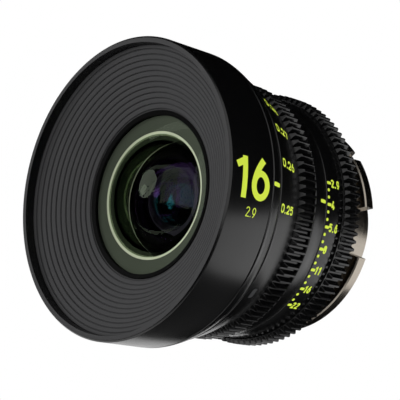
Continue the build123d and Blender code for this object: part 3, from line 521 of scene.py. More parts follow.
def bow(centre: tuple[float, float], reach: tuple[float, float], start: float,
        end: float) -> np.ndarray:
    """Return points on the ellipse (cx + a cos t, cy + b sin t), at most 15 degrees apart.

    Args:
        centre: cx and cy.
        reach: a and b.
        start: first angle in degrees.
        end: last angle in degrees.

    Returns:
        The points, one row each.
    """
    t = np.radians(np.linspace(start, end, 2 + int(abs(end - start) / 15)))
    return np.column_stack([centre[0] + reach[0] * np.cos(t), centre[1] + reach[1] * np.sin(t)])


def figure_strokes(figure: str, width: float, stroke: float) -> list[np.ndarray]:
    """Return the centre lines of a narrow engraver's figure in a box 1 high.

    Args:
        figure: a figure from 0 to 9, or a point.
        width: the box's width.
        stroke: width of a stroke.

    Returns:
        One array of points for each stroke.
    """
    half = stroke / 2
    left, right, low, high = half, width - half, half, 1 - half
    middle, reach = width / 2, (width - stroke) / 2
    lower, upper, stem = 0.33 - half / 2, 0.27 - half / 2, width * 0.68
    cap, cup = [((middle, y), (reach, reach)) for y in (high - reach, low + reach)]
    low_bowl = ((middle, low + lower), (reach, lower))
    high_bowl = ((middle, high - upper), (reach, upper))
    t = np.linspace(0, 1, 9)[:, None]
    a, b, c = np.array([(middle + 0.1, 1.0), (left + 0.015, 0.66), (left, low + lower)])
    six = [(1 - t) ** 2 * a + 2 * t * (1 - t) * b + t ** 2 * c, bow(*low_bowl, 180, 540)]
    strokes = {
        ".": [[(half, 0.0), (half, stroke)]],
        "0": [np.vstack([bow(*cap, 0, 180), bow(*cup, 180, 360), [(right, high - reach)]])],
        "1": [[(stem, 0.0), (stem, 1.0)],
              [(stem, high - 0.02), (stem - width * 0.55, high - 0.16)]],
        "2": [np.vstack([bow(*cap, 175, -30), [(left + 0.02, low)]]),
              [(left - half * 0.6, low), (width, low)]],
        "3": [bow(*high_bowl, 160, -80), bow(*low_bowl, 85, -160)],
        "4": [[(middle + 0.06, 1.0), (left, 0.27)], [(left - half, 0.27), (width, 0.27)],
              [(right - 0.08, 0.52), (right - 0.08, 0.0)]],
        "5": [[(width - half * 0.4, high), (left - half * 0.6, high)],
              [(left + 0.02, high), (left, 0.5)],
              np.vstack([[(left, 0.53)], bow(*low_bowl, 115, -155)])],
        "6": six,
        "7": [[(0.0, high), (width, high)], [(right, high), (middle - 0.1, 0.0)]],
        "8": [bow(*low_bowl, 0, 360), bow(high_bowl[0], (reach * 0.92, upper), 0, 360)],
        "9": [np.array([width, 1.0]) - line for line in six],
    }
    return [np.array(line) for line in strokes[figure]]


def ribbon(line: np.ndarray, stroke: float, thickness: float) -> Shape:
    """Carry a flat bar along a line.

    A point of the line plus and minus half a stroke along its own normal gives the two edges,
    once at the top and once below.

    Args:
        line: the centre line.
        stroke: the bar's width.
        thickness: how far it reaches down.

    Returns:
        Points and faces.
    """
    if len(line) == 2:
        line = line[0] + (line[1] - line[0]) * np.linspace(0, 1, 5)[:, None]
    ahead = np.gradient(line, axis=0)
    if np.allclose(line[0], line[-1]):
        ahead[0] = ahead[-1] = line[1] - line[-2]
    ahead /= np.linalg.norm(ahead, axis=1, keepdims=True)
    side = np.column_stack([ahead[:, 1], -ahead[:, 0]]) * stroke / 2
    edges = [(line - side, 0.0), (line + side, 0.0), (line + side, -thickness),
             (line - side, -thickness)]
    points = np.stack([np.column_stack([p, np.full(len(p), h)]) for p, h in edges], 1)
    last = 4 * len(line) - 4
    ends = [[0, 1, 2, 3], [last + 3, last + 2, last + 1, last]]
    return points.reshape(-1, 3), np.vstack([grid_faces(len(line), 4, False, True), ends])


@dataclass(frozen=True)
class FigureStyle:
    """Height of figures in millimetres, and their width, stroke and gap as shares of it."""

    height: float
    width: float
    stroke: float
    gap: float


def numeral_shape(text: str, style: FigureStyle) -> Shape:
    """Make flat figures of even strokes as a thin mesh, centred on their own middle.

    Args:
        text: the figures.
        style: their sizes.

    Returns:
        Points and faces.
    """
    points, faces, at, count = [], [], 0.0, 0
    # A point is as wide as a stroke, and a 1 takes four fifths of a figure's width
    rooms = {".": style.stroke, "1": style.width * 0.8}
    for figure in text:
        room = rooms.get(figure, style.width)
        for line in figure_strokes(figure, room, style.stroke):
            part, part_faces = ribbon((line + (at, 0.0)) * style.height,
                                      style.stroke * style.height, MARK_DEPTH)
            points.append(part)
            faces += (part_faces + count).tolist()
            count += len(part)
        at += room + style.gap
    points = np.vstack(points)
    points[:, :2] -= ((at - style.gap) * style.height / 2, style.height / 2)
    return points, faces


def tile_shape(length: float, width: float, squareness: float) -> Shape:
    """Make a small raised tile, such as a dot or a dash.

    Its outline is the superellipse |u/a|^n + |v/b|^n = 1, carried inward to its middle and down
    at its rim.

    Args:
        length: size along the axis in millimetres.
        width: size round the axis.
        squareness: the power n, 2 for a round dot and more for squarer ones.

    Returns:
        Points and faces.
    """
    count, sunk, proud, inner = 16, -0.04, 0.02, 0.45
    turn = np.arange(count) * 2 * np.pi / count
    cosine, sine = np.cos(turn), np.sin(turn)
    rim = (np.abs(cosine) ** squareness + np.abs(sine) ** squareness) ** (-1 / squareness)
    u, v = rim * cosine * length / 2, rim * sine * width / 2
    rows = [np.column_stack([u * share, v * share, 0 * u + height])
            for share, height in ((1, sunk), (1, proud), (inner, proud))]
    middle = list(range(2 * count, 3 * count))
    return np.vstack(rows), grid_faces(3, count, False, True).tolist() + [middle]


def engrave(name: str, profile: np.ndarray, finish: Finish, body: str,
            marks: list[tuple[Shape, float, float]]) -> None:
    """Gather the marks of one colour on one ring into one piece.

    Args:
        name: the piece's name.
        profile: stations and radii of the ring.
        finish: the marks' finish.
        body: the frame's body that carries them.
        marks: flat shape, angle in degrees and station of each mark.
    """
    points, faces, first = [], [], 0
    for (flat, flat_faces), angle, station in marks:
        points.append(wrapped(flat, profile, angle, station))
        faces += [[first + i for i in face] for face in flat_faces]
        first += len(flat)
    make_piece(name, (np.vstack(points), faces), [finish], body)


# ---------------------------------------------------------------- sub-assemblies


@dataclass
class FrontBarrel:
    """The straight front cylinder with its rim, its shoulder ring and the big figures."""

    radius: float = 47.5
    bore: float = 43.6
    rim_bore: float = 45.5
    web_bore: float = 34.1
    rim_station: float = -80.0
    step_station: float = -75.0
    web_station: float = -65.0
    back_station: float = -62.0
    chamfer: float = 0.55
    back_chamfer: float = 0.3
    rim_face: float = 0.02
    shoulder_arc: Outline = ((47.5, -61.6), (46.95, -59.45), (45.9, -57.0))
    shoulder_inside: Outline = ((42.1, -57.0), (42.1, -61.9), (47.2, -61.9))
    shoulder_points: int = 14
    big_style: FigureStyle = FigureStyle(12.2, 0.62, 0.165, 0.08)
    big_spot: Spot = (-1.49, -70.9)
    small_style: FigureStyle = FigureStyle(2.9, 0.52, 0.1, 0.14)
    small_spot: Spot = (-13.2, -69.9)
    index: Tile = (3.5, 1.3, 8.0)
    index_spot: Spot = (-1.3, -59.9)

    def barrel(self) -> None:
        """Build the barrel, with a narrow rim face and a web for the lens cell."""
        outline = [
            (self.rim_bore, self.rim_station), (self.radius - self.chamfer, self.rim_station),
            (self.radius, self.rim_station + self.chamfer),
            (self.radius, self.back_station - self.back_chamfer),
            (self.radius - self.back_chamfer, self.back_station),
            (self.web_bore, self.back_station), (self.web_bore, self.web_station),
            (self.bore, self.web_station), (self.bore, self.step_station),
            (self.rim_bore, self.step_station)]
        turned_piece("front_barrel_shell", outline, Finish.BARREL, "lens_body", ("front_barrel",),
                     front=(self.rim_station + self.rim_face, Finish.RIM))

    def shoulder(self) -> np.ndarray:
        """Build the curved ring behind the barrel.

        Returns:
            Stations and radii of the ring.
        """
        curve = arc_through(self.shoulder_arc, self.shoulder_points)
        turned_piece("index_shoulder_ring", np.vstack([curve, self.shoulder_inside]),
                     Finish.BARREL, "lens_body", ("index_ring",))
        return curve[:, ::-1]

    def marks(self, shoulder: np.ndarray) -> None:
        """Put the big figures on the barrel, and the index dash across the shoulder.

        Args:
            shoulder: stations and radii of the shoulder.
        """
        flat = np.array([[self.rim_station, self.radius], [self.shoulder_arc[0][1], self.radius]])
        engrave("barrel_figures", flat, Finish.MARK, "lens_body",
                [(numeral_shape("16", self.big_style), *self.big_spot),
                 (numeral_shape("2.9", self.small_style), *self.small_spot)])
        surface = np.vstack([flat, shoulder])
        engrave("focus_index_dash", surface[np.argsort(surface[:, 0])], Finish.MARK, "lens_body",
                [(tile_shape(*self.index), *self.index_spot)])

    def build(self) -> None:
        """Build and dress the front barrel's pieces."""
        self.barrel()
        self.marks(self.shoulder())


@dataclass
class LightBaffle:
    """The ribbed funnel inside the rim, and the black lip round the glass."""

    outer: tuple[float, float] = (44.2, -76.5)
    inner: tuple[float, float] = (27.1, -67.8)
    grooves: int = 12
    half_width: float = 0.28
    depth: float = 0.55
    edge: float = 0.1
    outer_seat: Outline = ((45.45, -75.0), (45.45, -76.8), (44.9, -76.8))
    back: Outline = ((26.8, -67.65), (26.8, -66.95), (43.7, -75.5), (43.7, -75.0))
    lip_outline: Outline = ((25.2, -66.72), (25.2, -67.5), (26.6, -67.9), (26.6, -66.5),
                            (26.95, -66.5), (26.95, -65.84), (26.5, -65.94))

    def funnel(self) -> None:
        """Build the cone with its grooves; each groove is three points along the cone's line."""
        outer, inner = np.array(self.outer), np.array(self.inner)
        along = (outer - inner) / np.linalg.norm(outer - inner)
        inward = np.array([-along[1], along[0]])
        middle = inner + (outer - inner) * np.linspace(1, 0, self.grooves)[:, None]
        cut = np.stack([middle + along * self.half_width, middle + inward * self.depth,
                        middle - along * self.half_width], 1).reshape(-1, 2)[:-1]
        turned_piece("ribbed_baffle", np.vstack([self.outer_seat, cut, self.back]), Finish.BAFFLE,
                     "lens_body", ("light_baffle",), self.edge)

    def lip(self) -> None:
        """Build the lip ring that holds the front glass."""
        turned_piece("front_glass_lip", self.lip_outline, Finish.INNER, "lens_body",
                     ("front_retaining_ring",), self.edge)

    def build(self) -> None:
        """Build and dress the baffle and the lip."""
        self.funnel()
        self.lip()


@dataclass(frozen=True)
class Element:
    """One glass element: its curves, half heights, front vertex and thickness in millimetres.

    A wider front has a shoulder behind it: a backing, from paint_half inward a painted edge that
    falls back by cone, and a bevel. A bevel given a width of its own takes a pale coat, which is a
    painted highlight on the ground bevel.
    """

    node: str
    front: float
    back: float
    half: float
    back_half: float
    vertex: float
    thickness: float
    body: str = "lens_body"
    glass: Finish = Finish.INNER_GLASS
    edge: Finish = Finish.CELL
    highlight_bevel: float = 0.0
    cone: float = 0.04
    paint_half: float = 0.0
    plain_bevel: float = 0.3
    bevel_slope: float = 0.6
    shoulder_step: float = 0.04
    rows: int = 22
    steps: int = 192
    crease: float = 25.0

    @staticmethod
    def fall(curve: float, height: np.ndarray) -> np.ndarray:
        """Return how far a sphere of this radius falls back at each height."""
        size = abs(curve)
        return np.sign(curve) * (size - np.sqrt(size * size - height * height))

    def section(self) -> tuple[np.ndarray, list[int]]:
        """Work out the section from the front's pole to the back's.

        A surface's station is its vertex plus R - sqrt(R R - h h) at the height h.

        Returns:
            Radius and station of each point, and the finish of each run between two points.
        """
        front_h = np.linspace(0, self.half, self.rows)
        back_h = np.linspace(self.back_half, 0, self.rows)
        back_vertex = self.vertex + self.thickness
        front = np.column_stack([front_h, self.vertex + self.fall(self.front, front_h)])
        back = np.column_stack([back_h, back_vertex + self.fall(self.back, back_h)])
        face = [GLASS] * (self.rows - 1)
        if self.half <= self.back_half:
            return np.vstack([front, back]), face + [EDGE] + face
        end = back[0, 1]
        outer = np.array([self.half, end - self.cone])
        inner = np.array([self.back_half + max(self.highlight_bevel, self.plain_bevel),
                          end - self.shoulder_step - self.bevel_slope * self.highlight_bevel])
        share = 0.5
        if self.paint_half:
            share = (self.half - self.paint_half) / (self.half - inner[0])
        back[0, 1] = end - self.shoulder_step
        shoulder = [outer, outer + (inner - outer) * share, inner]
        runs = [BACKING, BACKING, EDGE, BEVEL if self.highlight_bevel else EDGE]
        return np.vstack([front, shoulder, back]), face + runs + face

    def build(self) -> None:
        """Build the element as a front sphere, an edge, a shoulder and a back sphere."""
        section, kinds = self.section()
        points, sides = revolved(section[1:-1], self.steps, closed=False)
        poles = [[0, section[0, 1], 0], [0, section[-1, 1], 0]]
        here, pole = np.arange(self.steps), np.full(self.steps, len(points))
        there, last = (here + 1) % self.steps, len(points) - self.steps
        faces = (sides.tolist() + np.column_stack([pole, here, there]).tolist()
                 + np.column_stack([pole + 1, last + there, last + here]).tolist())
        face_kind = np.append(np.repeat(kinds[1:-1], self.steps), [GLASS] * 2 * self.steps)
        make_piece(self.node + "_glass", (np.vstack([points, poles]), faces),
                   [self.glass, self.edge, Finish.GROUND_HIGHLIGHT, Finish.CELL], self.body, (self.node,),
                   self.crease, face_kind)


@dataclass
class GlassStack:
    """The nine glass elements and the parts that hold them."""

    elements: tuple[Element, ...] = (
        # The front element's bevel takes the pale coat of the painted highlight
        Element("front_element", 52.0, 23.7, 26.5, 18.2, -73.0, 3.0, glass=Finish.FRONT_GLASS,
                edge=Finish.EDGE, highlight_bevel=0.9, cone=4.0, paint_half=24.9),
        Element("second_element", 34.0, 15.5, 18.5, 13.0, -64.0, 2.2, glass=Finish.SECOND_GLASS),
        Element("third_element", 28.0, -45.0, 13.2, 13.2, -53.0, 7.0),
        Element("focus_front_element", -60.0, 26.0, 11.0, 11.0, -44.9, 1.18, "focus_group"),
        Element("focus_back_element", 26.0, -45.0, 11.0, 11.0, -43.7, 5.0, "focus_group"),
        Element("relay_front_element", 24.0, -24.0, 11.0, 11.0, -21.3, 5.98),
        Element("relay_back_element", -24.0, 60.0, 11.0, 11.0, -15.3, 1.4),
        Element("rear_front_element", 30.0, -90.0, 12.0, 12.0, 7.2, 5.0, glass=Finish.REAR_GLASS),
        Element("rear_back_element", 60.0, -60.0, 12.0, 12.0, 15.4, 4.0, glass=Finish.REAR_GLASS),
    )

    def build(self) -> None:
        """Build the glass, and dress the cells, spacers and retaining rings."""
        for element in self.elements:
            element.build()
        # These walls, seen through the glass, take the bore paint with the painted violet
        # reflection
        dress(Finish.BORE_VEIL, "element_spacer", "focus_cell", "focus_retaining_ring",
              "front_lens_cell")
        dress(Finish.CELL, "second_retaining_ring", "relay_retaining_ring", "rear_spacer",
              "rear_retaining_ring")
        dress(Finish.INNER, "main_tube")
        dress(Finish.STEEL, "front_cell_screws", "main_tube_screws", "focus_stop_pin",
              "guide_keys", "guide_key_screws", "rear_cell_screws")
        dress(Finish.BRASS, "helicoid_nut")


@dataclass(frozen=True)
class GearRow:
    """A row of 0.8 module teeth on a turned ring, with cones cut off the tooth ends.

    The half angles of a tooth are in degrees.
    """

    bore: float
    front: float
    back: float
    front_bevel: float
    back_bevel: float
    phase: float
    tip: float = 42.4
    root: float = 40.6
    teeth: int = 104
    tip_half: float = 0.467
    pitch_half: float = 0.88
    root_half: float = 1.367
    tip_round: float = 0.86

    def radii(self) -> tuple[np.ndarray, np.ndarray]:
        """Work out the toothed outline.

        Across one tooth the half angle grows from the tip to the root as a parabola through the
        half angles at the tip, the pitch circle and the root, as an involute flank nearly does.

        Returns:
            The angle in radians and the radius of each point.
        """
        share = np.array([0.0, 0.12, 0.3, 0.5, 0.75, 1.0])
        drop = np.array([0.0, 0.08, 0.3, 0.5, 0.75, 1.0])
        sag = 4 * self.pitch_half - 2 * self.tip_half - 2 * self.root_half
        half = (self.tip_half + (self.root_half - self.tip_half) * share
                + sag * share * (1 - share))
        half[0] *= self.tip_round
        offset = np.concatenate([-half[::-1], half])
        level = np.concatenate([drop[::-1], drop])
        step = 360.0 / self.teeth
        middle = self.phase + step / 2 + step * np.arange(self.teeth)
        angle = (middle[:, None] + offset[None, :]).ravel()
        radius = np.tile(self.tip - (self.tip - self.root) * level, self.teeth)
        return np.radians(angle), radius

    def shape(self) -> Shape:
        """Carry the outline along the axis.

        At each station the radius is the lesser of the tooth outline's and the end cone's.

        Returns:
            Points and faces.
        """
        angle, outline = self.radii()
        front, back = np.linspace(0, 1, 6), np.linspace(1, 0, 4)
        height = self.tip - self.root + SLIVER
        cone = self.root - SLIVER + height * np.concatenate([front, back])
        limit = np.concatenate([[self.bore], cone, [self.bore]])[:, None]
        station = np.concatenate([[self.front], self.front + self.front_bevel * front,
                                  self.back - self.back_bevel * back, [self.back]])[:, None]
        radius = np.minimum(outline[None, :], limit)
        x, z = radius * np.cos(angle), radius * np.sin(angle)
        points = np.stack([x, station + 0 * x, z], -1).reshape(-1, 3)
        return points, grid_faces(len(limit), len(angle), True, True)[:, ::-1]


@dataclass
class FocusRing:
    """The tapering scale ring in front and the toothed ring behind it.

    The scale runs from the nearest distance, in metres, at its own angle in degrees.
    """

    band_arc: Outline = ((45.8, -56.35), (43.7, -49.875), (40.8, -43.1))
    band_inside: Outline = ((39.0, -43.1), (39.0, -40.1), (37.05, -40.1), (37.05, -54.65),
                            (34.05, -54.65), (34.05, -56.65), (45.5, -56.65))
    band_points: int = 24
    gear: GearRow = GearRow(39.1, -42.75, -36.2, 1.0, 0.35, 1.2)
    near: float = 0.25
    near_angle: float = -8.89
    pole: float = 0.177
    far_turn: float = 283.0
    style: FigureStyle = FigureStyle(2.75, 0.8, 0.2, 0.17)
    figure_station: float = -51.4
    stroke: Tile = (0.25, 3.0, 8.0)
    stroke_station: float = -55.6
    grip_mark: Tile = (2.6, 3.4, 20.0)
    grip_spot: Spot = (-44.5, -52.3)
    figures: tuple[str, ...] = ("0.25", "0.26", "0.27", "0.28", "0.3", "0.32", "0.35", "0.4",
                                "0.45", "0.5", "0.6", "0.8", "1", "1.5", "3")

    def scale_ring(self) -> np.ndarray:
        """Build the scale ring.

        Returns:
            Stations and radii of the ring.
        """
        curve = arc_through(self.band_arc, self.band_points)
        turned_piece("focus_scale_band", np.vstack([curve, self.band_inside]), Finish.BARREL,
                     "focus_ring", ("focus_scale_ring",))
        return curve[:, ::-1]

    def angle_of(self, distance: float) -> float:
        """Return a distance's angle, which grows as 1 - sqrt((near - pole) / (distance - pole))."""
        share = (self.near - self.pole) / (distance - self.pole)
        return self.near_angle + self.far_turn * (1 - np.sqrt(share))

    def scale(self, profile: np.ndarray) -> None:
        """Put the distances on the ring, each with a fine stroke in front of it.

        Args:
            profile: stations and radii of the ring.
        """
        angles = [self.angle_of(float(text)) for text in self.figures]
        engrave("focus_distances", profile, Finish.MARK, "focus_ring",
                [(numeral_shape(text, self.style), angle, self.figure_station)
                 for text, angle in zip(self.figures, angles)])
        engrave("focus_strokes", profile, Finish.DIM_MARK, "focus_ring",
                [(tile_shape(*self.stroke), angle, self.stroke_station) for angle in angles])
        engrave("focus_grip_mark", profile, Finish.GREY_MARK, "focus_ring",
                [(tile_shape(*self.grip_mark), *self.grip_spot)])

    def build(self) -> None:
        """Build and dress the focus ring."""
        self.scale(self.scale_ring())
        make_piece("focus_gear", self.gear.shape(), [Finish.TEETH], "focus_ring",
                   ("focus_gear_ring",), crease=TOOTH_CREASE)


@dataclass
class IrisRing:
    """The stop scale ring and its toothed ring, with the fixed ring in front of them."""

    gear: GearRow = GearRow(37.45, -21.0, -14.7, 0.9, 0.35, 0.4)
    low_gear: GearRow = GearRow(37.45, -23.2, -21.7, 0.1, 0.0, 0.4, tip=40.55, root=39.9)
    ridge: Outline = ((37.45, -21.75), (40.95, -21.75), (40.95, -21.2), (40.5, -21.0),
                      (37.45, -21.0))
    ridge_edge: float = 0.1
    middle: Outline = ((34.0, -35.85), (41.2, -35.85), (41.5, -35.55), (40.6, -29.8),
                       (34.0, -29.8))
    band: Outline = ((34.05, -29.45), (40.1, -29.45), (40.4, -29.15), (40.4, -23.2),
                     (37.4, -23.2), (37.4, -20.2), (34.05, -20.2))
    style: FigureStyle = FigureStyle(2.7, 0.54, 0.2, 0.12)
    figures: tuple[str, ...] = ("2.9", "4", "5.6", "8", "11", "16", "22")
    figure_angles: tuple[float, ...] = (8.5, -1.4, -11.5, -21.5, -31.5, -41.5, -51.3)
    figure_station: float = -27.0
    dash: Tile = (1.9, 0.95, 6.0)
    dash_station: float = -28.0
    dot: Tile = (1.0, 0.95, 3.0)
    dot_station: float = -28.4
    index: Tile = (2.7, 1.1, 8.0)
    index_spot: Spot = (-0.8, -31.6)

    def middle_ring(self) -> None:
        """Build the fixed ring between focus and iris, with its index dash."""
        turned_piece("fixed_middle_ring", self.middle, Finish.BARREL, "lens_body",
                     ("middle_ring",))
        engrave("iris_index_dash", np.array(self.middle[2:4])[:, ::-1], Finish.MARK, "lens_body",
                [(tile_shape(*self.index), *self.index_spot)])

    def scale_ring(self) -> None:
        """Build the plain band that carries the stops."""
        turned_piece("iris_scale_band", self.band, Finish.BARREL, "iris_ring",
                     ("iris_scale_ring",))

    def scale(self) -> None:
        """Put the stops on the band, a dash at each whole stop and dots at its thirds."""
        dash, dot, marks = tile_shape(*self.dash), tile_shape(*self.dot), []
        for text, angle in zip(self.figures, self.figure_angles):
            shape = numeral_shape(text, self.style)
            half = np.ptp(shape[0][:, 0]) / 2
            marks += [(dash, angle, self.dash_station), (shape, angle, self.figure_station + half)]
        for angle, after in zip(self.figure_angles[:-1], self.figure_angles[1:]):
            marks += [(dot, angle + (after - angle) * third / 3, self.dot_station)
                      for third in (1, 2)]
        engrave("iris_stops", np.array(self.band[2:4])[:, ::-1], Finish.MARK, "iris_ring", marks)

    def toothed_ring(self) -> None:
        """Build the low front row, the plain ridge and the full teeth as one piece."""
        ridge = round_corners(counter_clockwise(np.array(self.ridge)), self.ridge_edge)
        parts = [self.low_gear.shape(), revolved(ridge), self.gear.shape()]
        first = np.cumsum([0] + [len(p) for p, _ in parts[:-1]])
        points = np.vstack([p for p, _ in parts])
        faces = np.vstack([f + start for (_, f), start in zip(parts, first)])
        make_piece("iris_gear", (points, faces), [Finish.TEETH], "iris_ring",
                   ("iris_gear_ring",), crease=TOOTH_CREASE)

    def build(self) -> None:
        """Build and dress the iris ring and the fixed ring."""
        self.middle_ring()
        self.scale_ring()
        self.scale()
        self.toothed_ring()
        dress(Finish.STEEL, "iris_drive_pins")


@dataclass
class IrisMechanism:
    """The nine blades with their housing and cam ring, which keep the frame's own shapes."""

    blades: int = 9

    def build(self) -> None:
        """Dress the mechanism."""
        dress(Finish.BLADE, *[f"iris_blade_{k + 1}" for k in range(self.blades)])
        dress(Finish.CELL, "iris_housing", "iris_cam_ring")


@dataclass
class MountEnd:
    """The black rear collar, the steel flange and the rear cell."""

    collar: Outline = ((23.95, -14.35), (38.0, -14.35), (38.0, -12.35), (33.5, -10.05),
                       (33.5, -6.8), (23.95, -6.8))

    def build(self) -> None:
        """Build the collar between the iris ring and the flange, and dress the mount end."""
        turned_piece("rear_collar", self.collar, Finish.BARREL, "lens_body", ("rear_barrel",))
        dress(Finish.BRASS, "flange_shim")
        dress(Finish.FLANGE, "mount_flange")
        dress(Finish.STEEL, "mount_flange_screws", "rear_barrel_screws")
        dress(Finish.BARREL, "rear_cell")


@dataclass(frozen=True)
class Softbox:
    """A soft lamp, with sizes in metres, its roll in degrees and a radiance where 1 is white."""

    name: str
    place: Place
    aim: Place
    size: tuple[float, float]
    radiance: float
    roll: float = 0.0
    round: bool = False
    in_gloss: bool = True
    through_glass: bool = True

    def hang(self) -> None:
        """Hang the lamp facing its aim; a face of area A and radiance L gives pi A L watts."""
        data = bpy.data.lights.new(self.name, "AREA")
        data.shape = "ELLIPSE" if self.round else "RECTANGLE"
        data.size, data.size_y = self.size
        area = self.size[0] * self.size[1] * (np.pi / 4 if self.round else 1.0)
        data.energy = self.radiance * np.pi * area
        lamp = bpy.data.objects.new(self.name, data)
        facing = (Vector(self.place) - Vector(self.aim)).to_track_quat("Z", "Y")
        turn = Matrix.Rotation(np.radians(self.roll), 4, "Z")
        lamp.matrix_world = Matrix.Translation(self.place) @ facing.to_matrix().to_4x4() @ turn
        lamp.visible_camera = False
        lamp.visible_glossy = self.in_gloss
        lamp.visible_transmission = self.through_glass
        bpy.context.scene.collection.objects.link(lamp)


@dataclass
class Studio:
    """The camera, the soft lamps, the dark cards, the pale floor and the white surroundings.

    The camera's place, in millimetres, and its turn were solved from the rings of the photograph.
    """

    eye: Place = (312.21289505, -354.04064195, -84.1830485)
    right: Place = (0.70912735, 0.70374494, 0.04337581)
    up: Place = (0.1054094, -0.16664121, 0.98036706)
    lens: float = 124.528
    sensor: float = 36.0
    floor_station: float = -0.26
    floor_half: float = 2.5
    floor_points: int = 41
    card_points: int = 9
    sky_light: float = 0.7
    # The key lights dull surfaces, and gloss and glass see a dimmer, smaller diffuser before it
    lamps: tuple[Softbox, ...] = (
        Softbox("side_softbox", (0.1888, 0.1702, -0.1353), (0.04, -0.05, -0.02), (0.25, 0.205),
                1.33, 30.0, through_glass=False),
        Softbox("rear_softbox", (-0.003, 0.311, -0.048), (0.04, -0.05, -0.02), (0.36, 0.16),
                0.7, 17.0),
        Softbox("under_softbox", (-0.02, 0.09, -0.2), (-0.02, 0.09, 0.0), (0.32, 0.12), 0.08),
        Softbox("key_softbox", (-0.575, -0.84, 0.25), (0.005, -0.07, 0.0), (0.36, 0.36),
                12.4, round=True, in_gloss=False, through_glass=False),
        Softbox("key_diffuser", (-0.5727, -0.8369, 0.249), (0.005, -0.07, 0.0), (0.28, 0.28),
                3.4, round=True),
    )
    # Name and four corners of each dark card, in turn
    cards: tuple[tuple[str, tuple[Place, ...]], ...] = (
        ("card_behind", ((-0.62, 0.9, -0.25), (2.5, 0.9, -0.25), (2.5, 0.9, 2.2),
                         (-0.62, 0.9, 2.2))),
        ("card_above", ((-1.8, 0.9, 0.03), (-0.62, 0.9, 0.03), (-0.62, 0.9, 2.2),
                        (-1.8, 0.9, 2.2))),
        ("card_below", ((-0.07, -0.1, -0.24), (1.2, -0.1, -0.24), (1.2, 0.95, -0.24),
                        (-0.7, 0.95, -0.24))),
        ("card_overhead", ((-0.9, -0.4, 0.6), (1.5, -0.4, 0.6), (1.5, 0.9, 0.6),
                           (-0.9, 0.9, 0.6))),
        ("card_on_floor", ((-1.3, -1.3, -0.25), (0.5, -1.3, -0.25), (0.5, -0.2, -0.25),
                           (-1.3, -0.2, -0.25))),
        ("card_ahead", ((-2.2, -1.3, -0.25), (0.05, -1.3, -0.25), (0.05, -1.3, 1.6),
                        (-2.2, -1.3, 1.6))),
        ("card_beside", ((-1.3, -1.2, -0.25), (-1.3, 0.5, -0.25), (-1.3, 0.5, 1.2),
                         (-1.3, -1.2, 1.2))),
    )

    def camera(self) -> None:
        """Set the camera at the photograph's angle."""
        right, up = np.array(self.right), np.array(self.up)
        data = bpy.data.cameras.new("studio_camera")
        data.lens, data.sensor_width = self.lens, self.sensor
        data.clip_start, data.clip_end = 0.01, 20.0
        camera = bpy.data.objects.new("studio_camera", data)
        place = np.eye(4)
        place[:3, :3] = np.column_stack([right, up, np.cross(right, up)])
        place[:3, 3] = np.array(self.eye) * MM
        camera.matrix_world = Matrix(place.tolist())
        bpy.context.scene.collection.objects.link(camera)
        bpy.context.scene.camera = camera

    def sheet(self, name: str, points: np.ndarray, material: bpy.types.Material
              ) -> bpy.types.Object:
        """Make a square grid of points into a sheet of the studio.

        Args:
            name: the sheet's name.
            points: places in metres, in as many rows as columns.
            material: its material.

        Returns:
            The sheet.
        """
        count = len(points)
        mesh = bpy.data.meshes.new(name)
        mesh.from_pydata(points.reshape(-1, 3).tolist(), [],
                         grid_faces(count, count, False, False).tolist())
        mesh.materials.append(material)
        sheet = bpy.data.objects.new(name, mesh)
        bpy.context.scene.collection.objects.link(sheet)
        return sheet

    def dark_card(self, name: str, corners: tuple[Place, ...]) -> None:
        """Stand a dark card where the photograph's surroundings are dark.

        Only gloss and what is seen through glass meet it. A point of the card is
        (1-u)(1-v)A + u(1-v)B + uvC + (1-u)vD, from its corners A, B, C and D.

        Args:
            name: the card's name.
            corners: the four corners in metres, in turn.
        """
        share = np.linspace(0, 1, self.card_points)
        u, v = np.meshgrid(share, share, indexing="ij")
        shares = np.stack([(1 - u) * (1 - v), u * (1 - v), u * v, (1 - u) * v], -1)
        card = self.sheet(name, shares @ np.array(corners), Finish.CARD.material())
        card.visible_camera = card.visible_diffuse = card.visible_shadow = False

    def floor(self) -> None:
        """Lay a flat pale floor under the lens."""
        side = np.linspace(-self.floor_half, self.floor_half, self.floor_points)
        x, y = np.meshgrid(side, side, indexing="ij")
        points = np.stack([x, y, np.full_like(x, self.floor_station)], -1)
        floor = self.sheet("studio_floor", points, self.floor_material())

    def floor_material(self) -> bpy.types.Material:
        """Make gloss and glass see the pale floor as the same white as the backdrop.

        Returns:
            The floor's material.
        """
        material = Finish.FLOOR.material()
        tree = material.node_tree
        output = next(node for node in tree.nodes if node.type == "OUTPUT_MATERIAL")
        plain = output.inputs["Surface"].links[0].from_socket
        seen = seen_by(tree, "Is Glossy Ray", "Is Transmission Ray")
        white = add_node(tree, "ShaderNodeEmission", {"Color": linear("FFFFFF"), "Strength": 1.0})
        mixed = add_node(tree, "ShaderNodeMixShader", None,
                         {0: seen, 1: plain, 2: white.outputs[0]})
        tree.links.new(mixed.outputs[0], output.inputs["Surface"])
        return material

    def surroundings(self) -> None:
        """Make the surroundings white to the camera, gloss and glass, and softer as light."""
        world = bpy.data.worlds.new("studio_world")
        world.use_nodes = True
        tree = world.node_tree
        tree.nodes.clear()
        seen = seen_by(tree, "Is Camera Ray", "Is Glossy Ray", "Is Transmission Ray")
        soft, white = [add_node(tree, "ShaderNodeBackground",
                                {"Color": linear("FFFFFF"), "Strength": strength})
                       for strength in (self.sky_light, 1.0)]
        mixed = add_node(tree, "ShaderNodeMixShader", None,
                         {0: seen, 1: soft.outputs[0], 2: white.outputs[0]})
        add_node(tree, "ShaderNodeOutputWorld", None, {"Surface": mixed.outputs[0]})
        bpy.context.scene.world = world
        bpy.context.scene.view_settings.view_transform = "Standard"

    def build(self) -> None:
        """Set up the studio."""
        self.camera()
        self.floor()
        self.surroundings()
        for lamp in self.lamps:
            lamp.hang()
        for name, corners in self.cards:
            self.dark_card(name, corners)


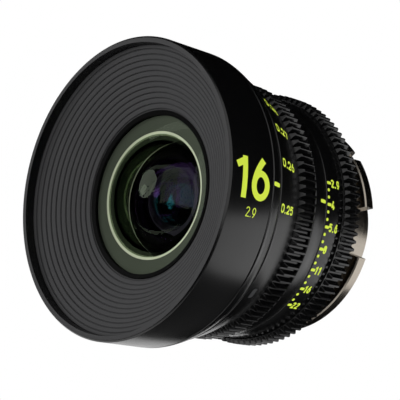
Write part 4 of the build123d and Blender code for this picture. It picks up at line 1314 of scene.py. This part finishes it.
def main() -> None:
    """Build the lens from front to back, then the studio."""
    logging.basicConfig(level=logging.INFO)
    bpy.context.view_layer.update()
    for part in (FrontBarrel(), LightBaffle(), GlassStack(), FocusRing(), IrisRing(),
                 IrisMechanism(), MountEnd(), Studio()):
        part.build()
        log.info("%s is done", type(part).__name__)


if __name__ == "__main__":
    main()
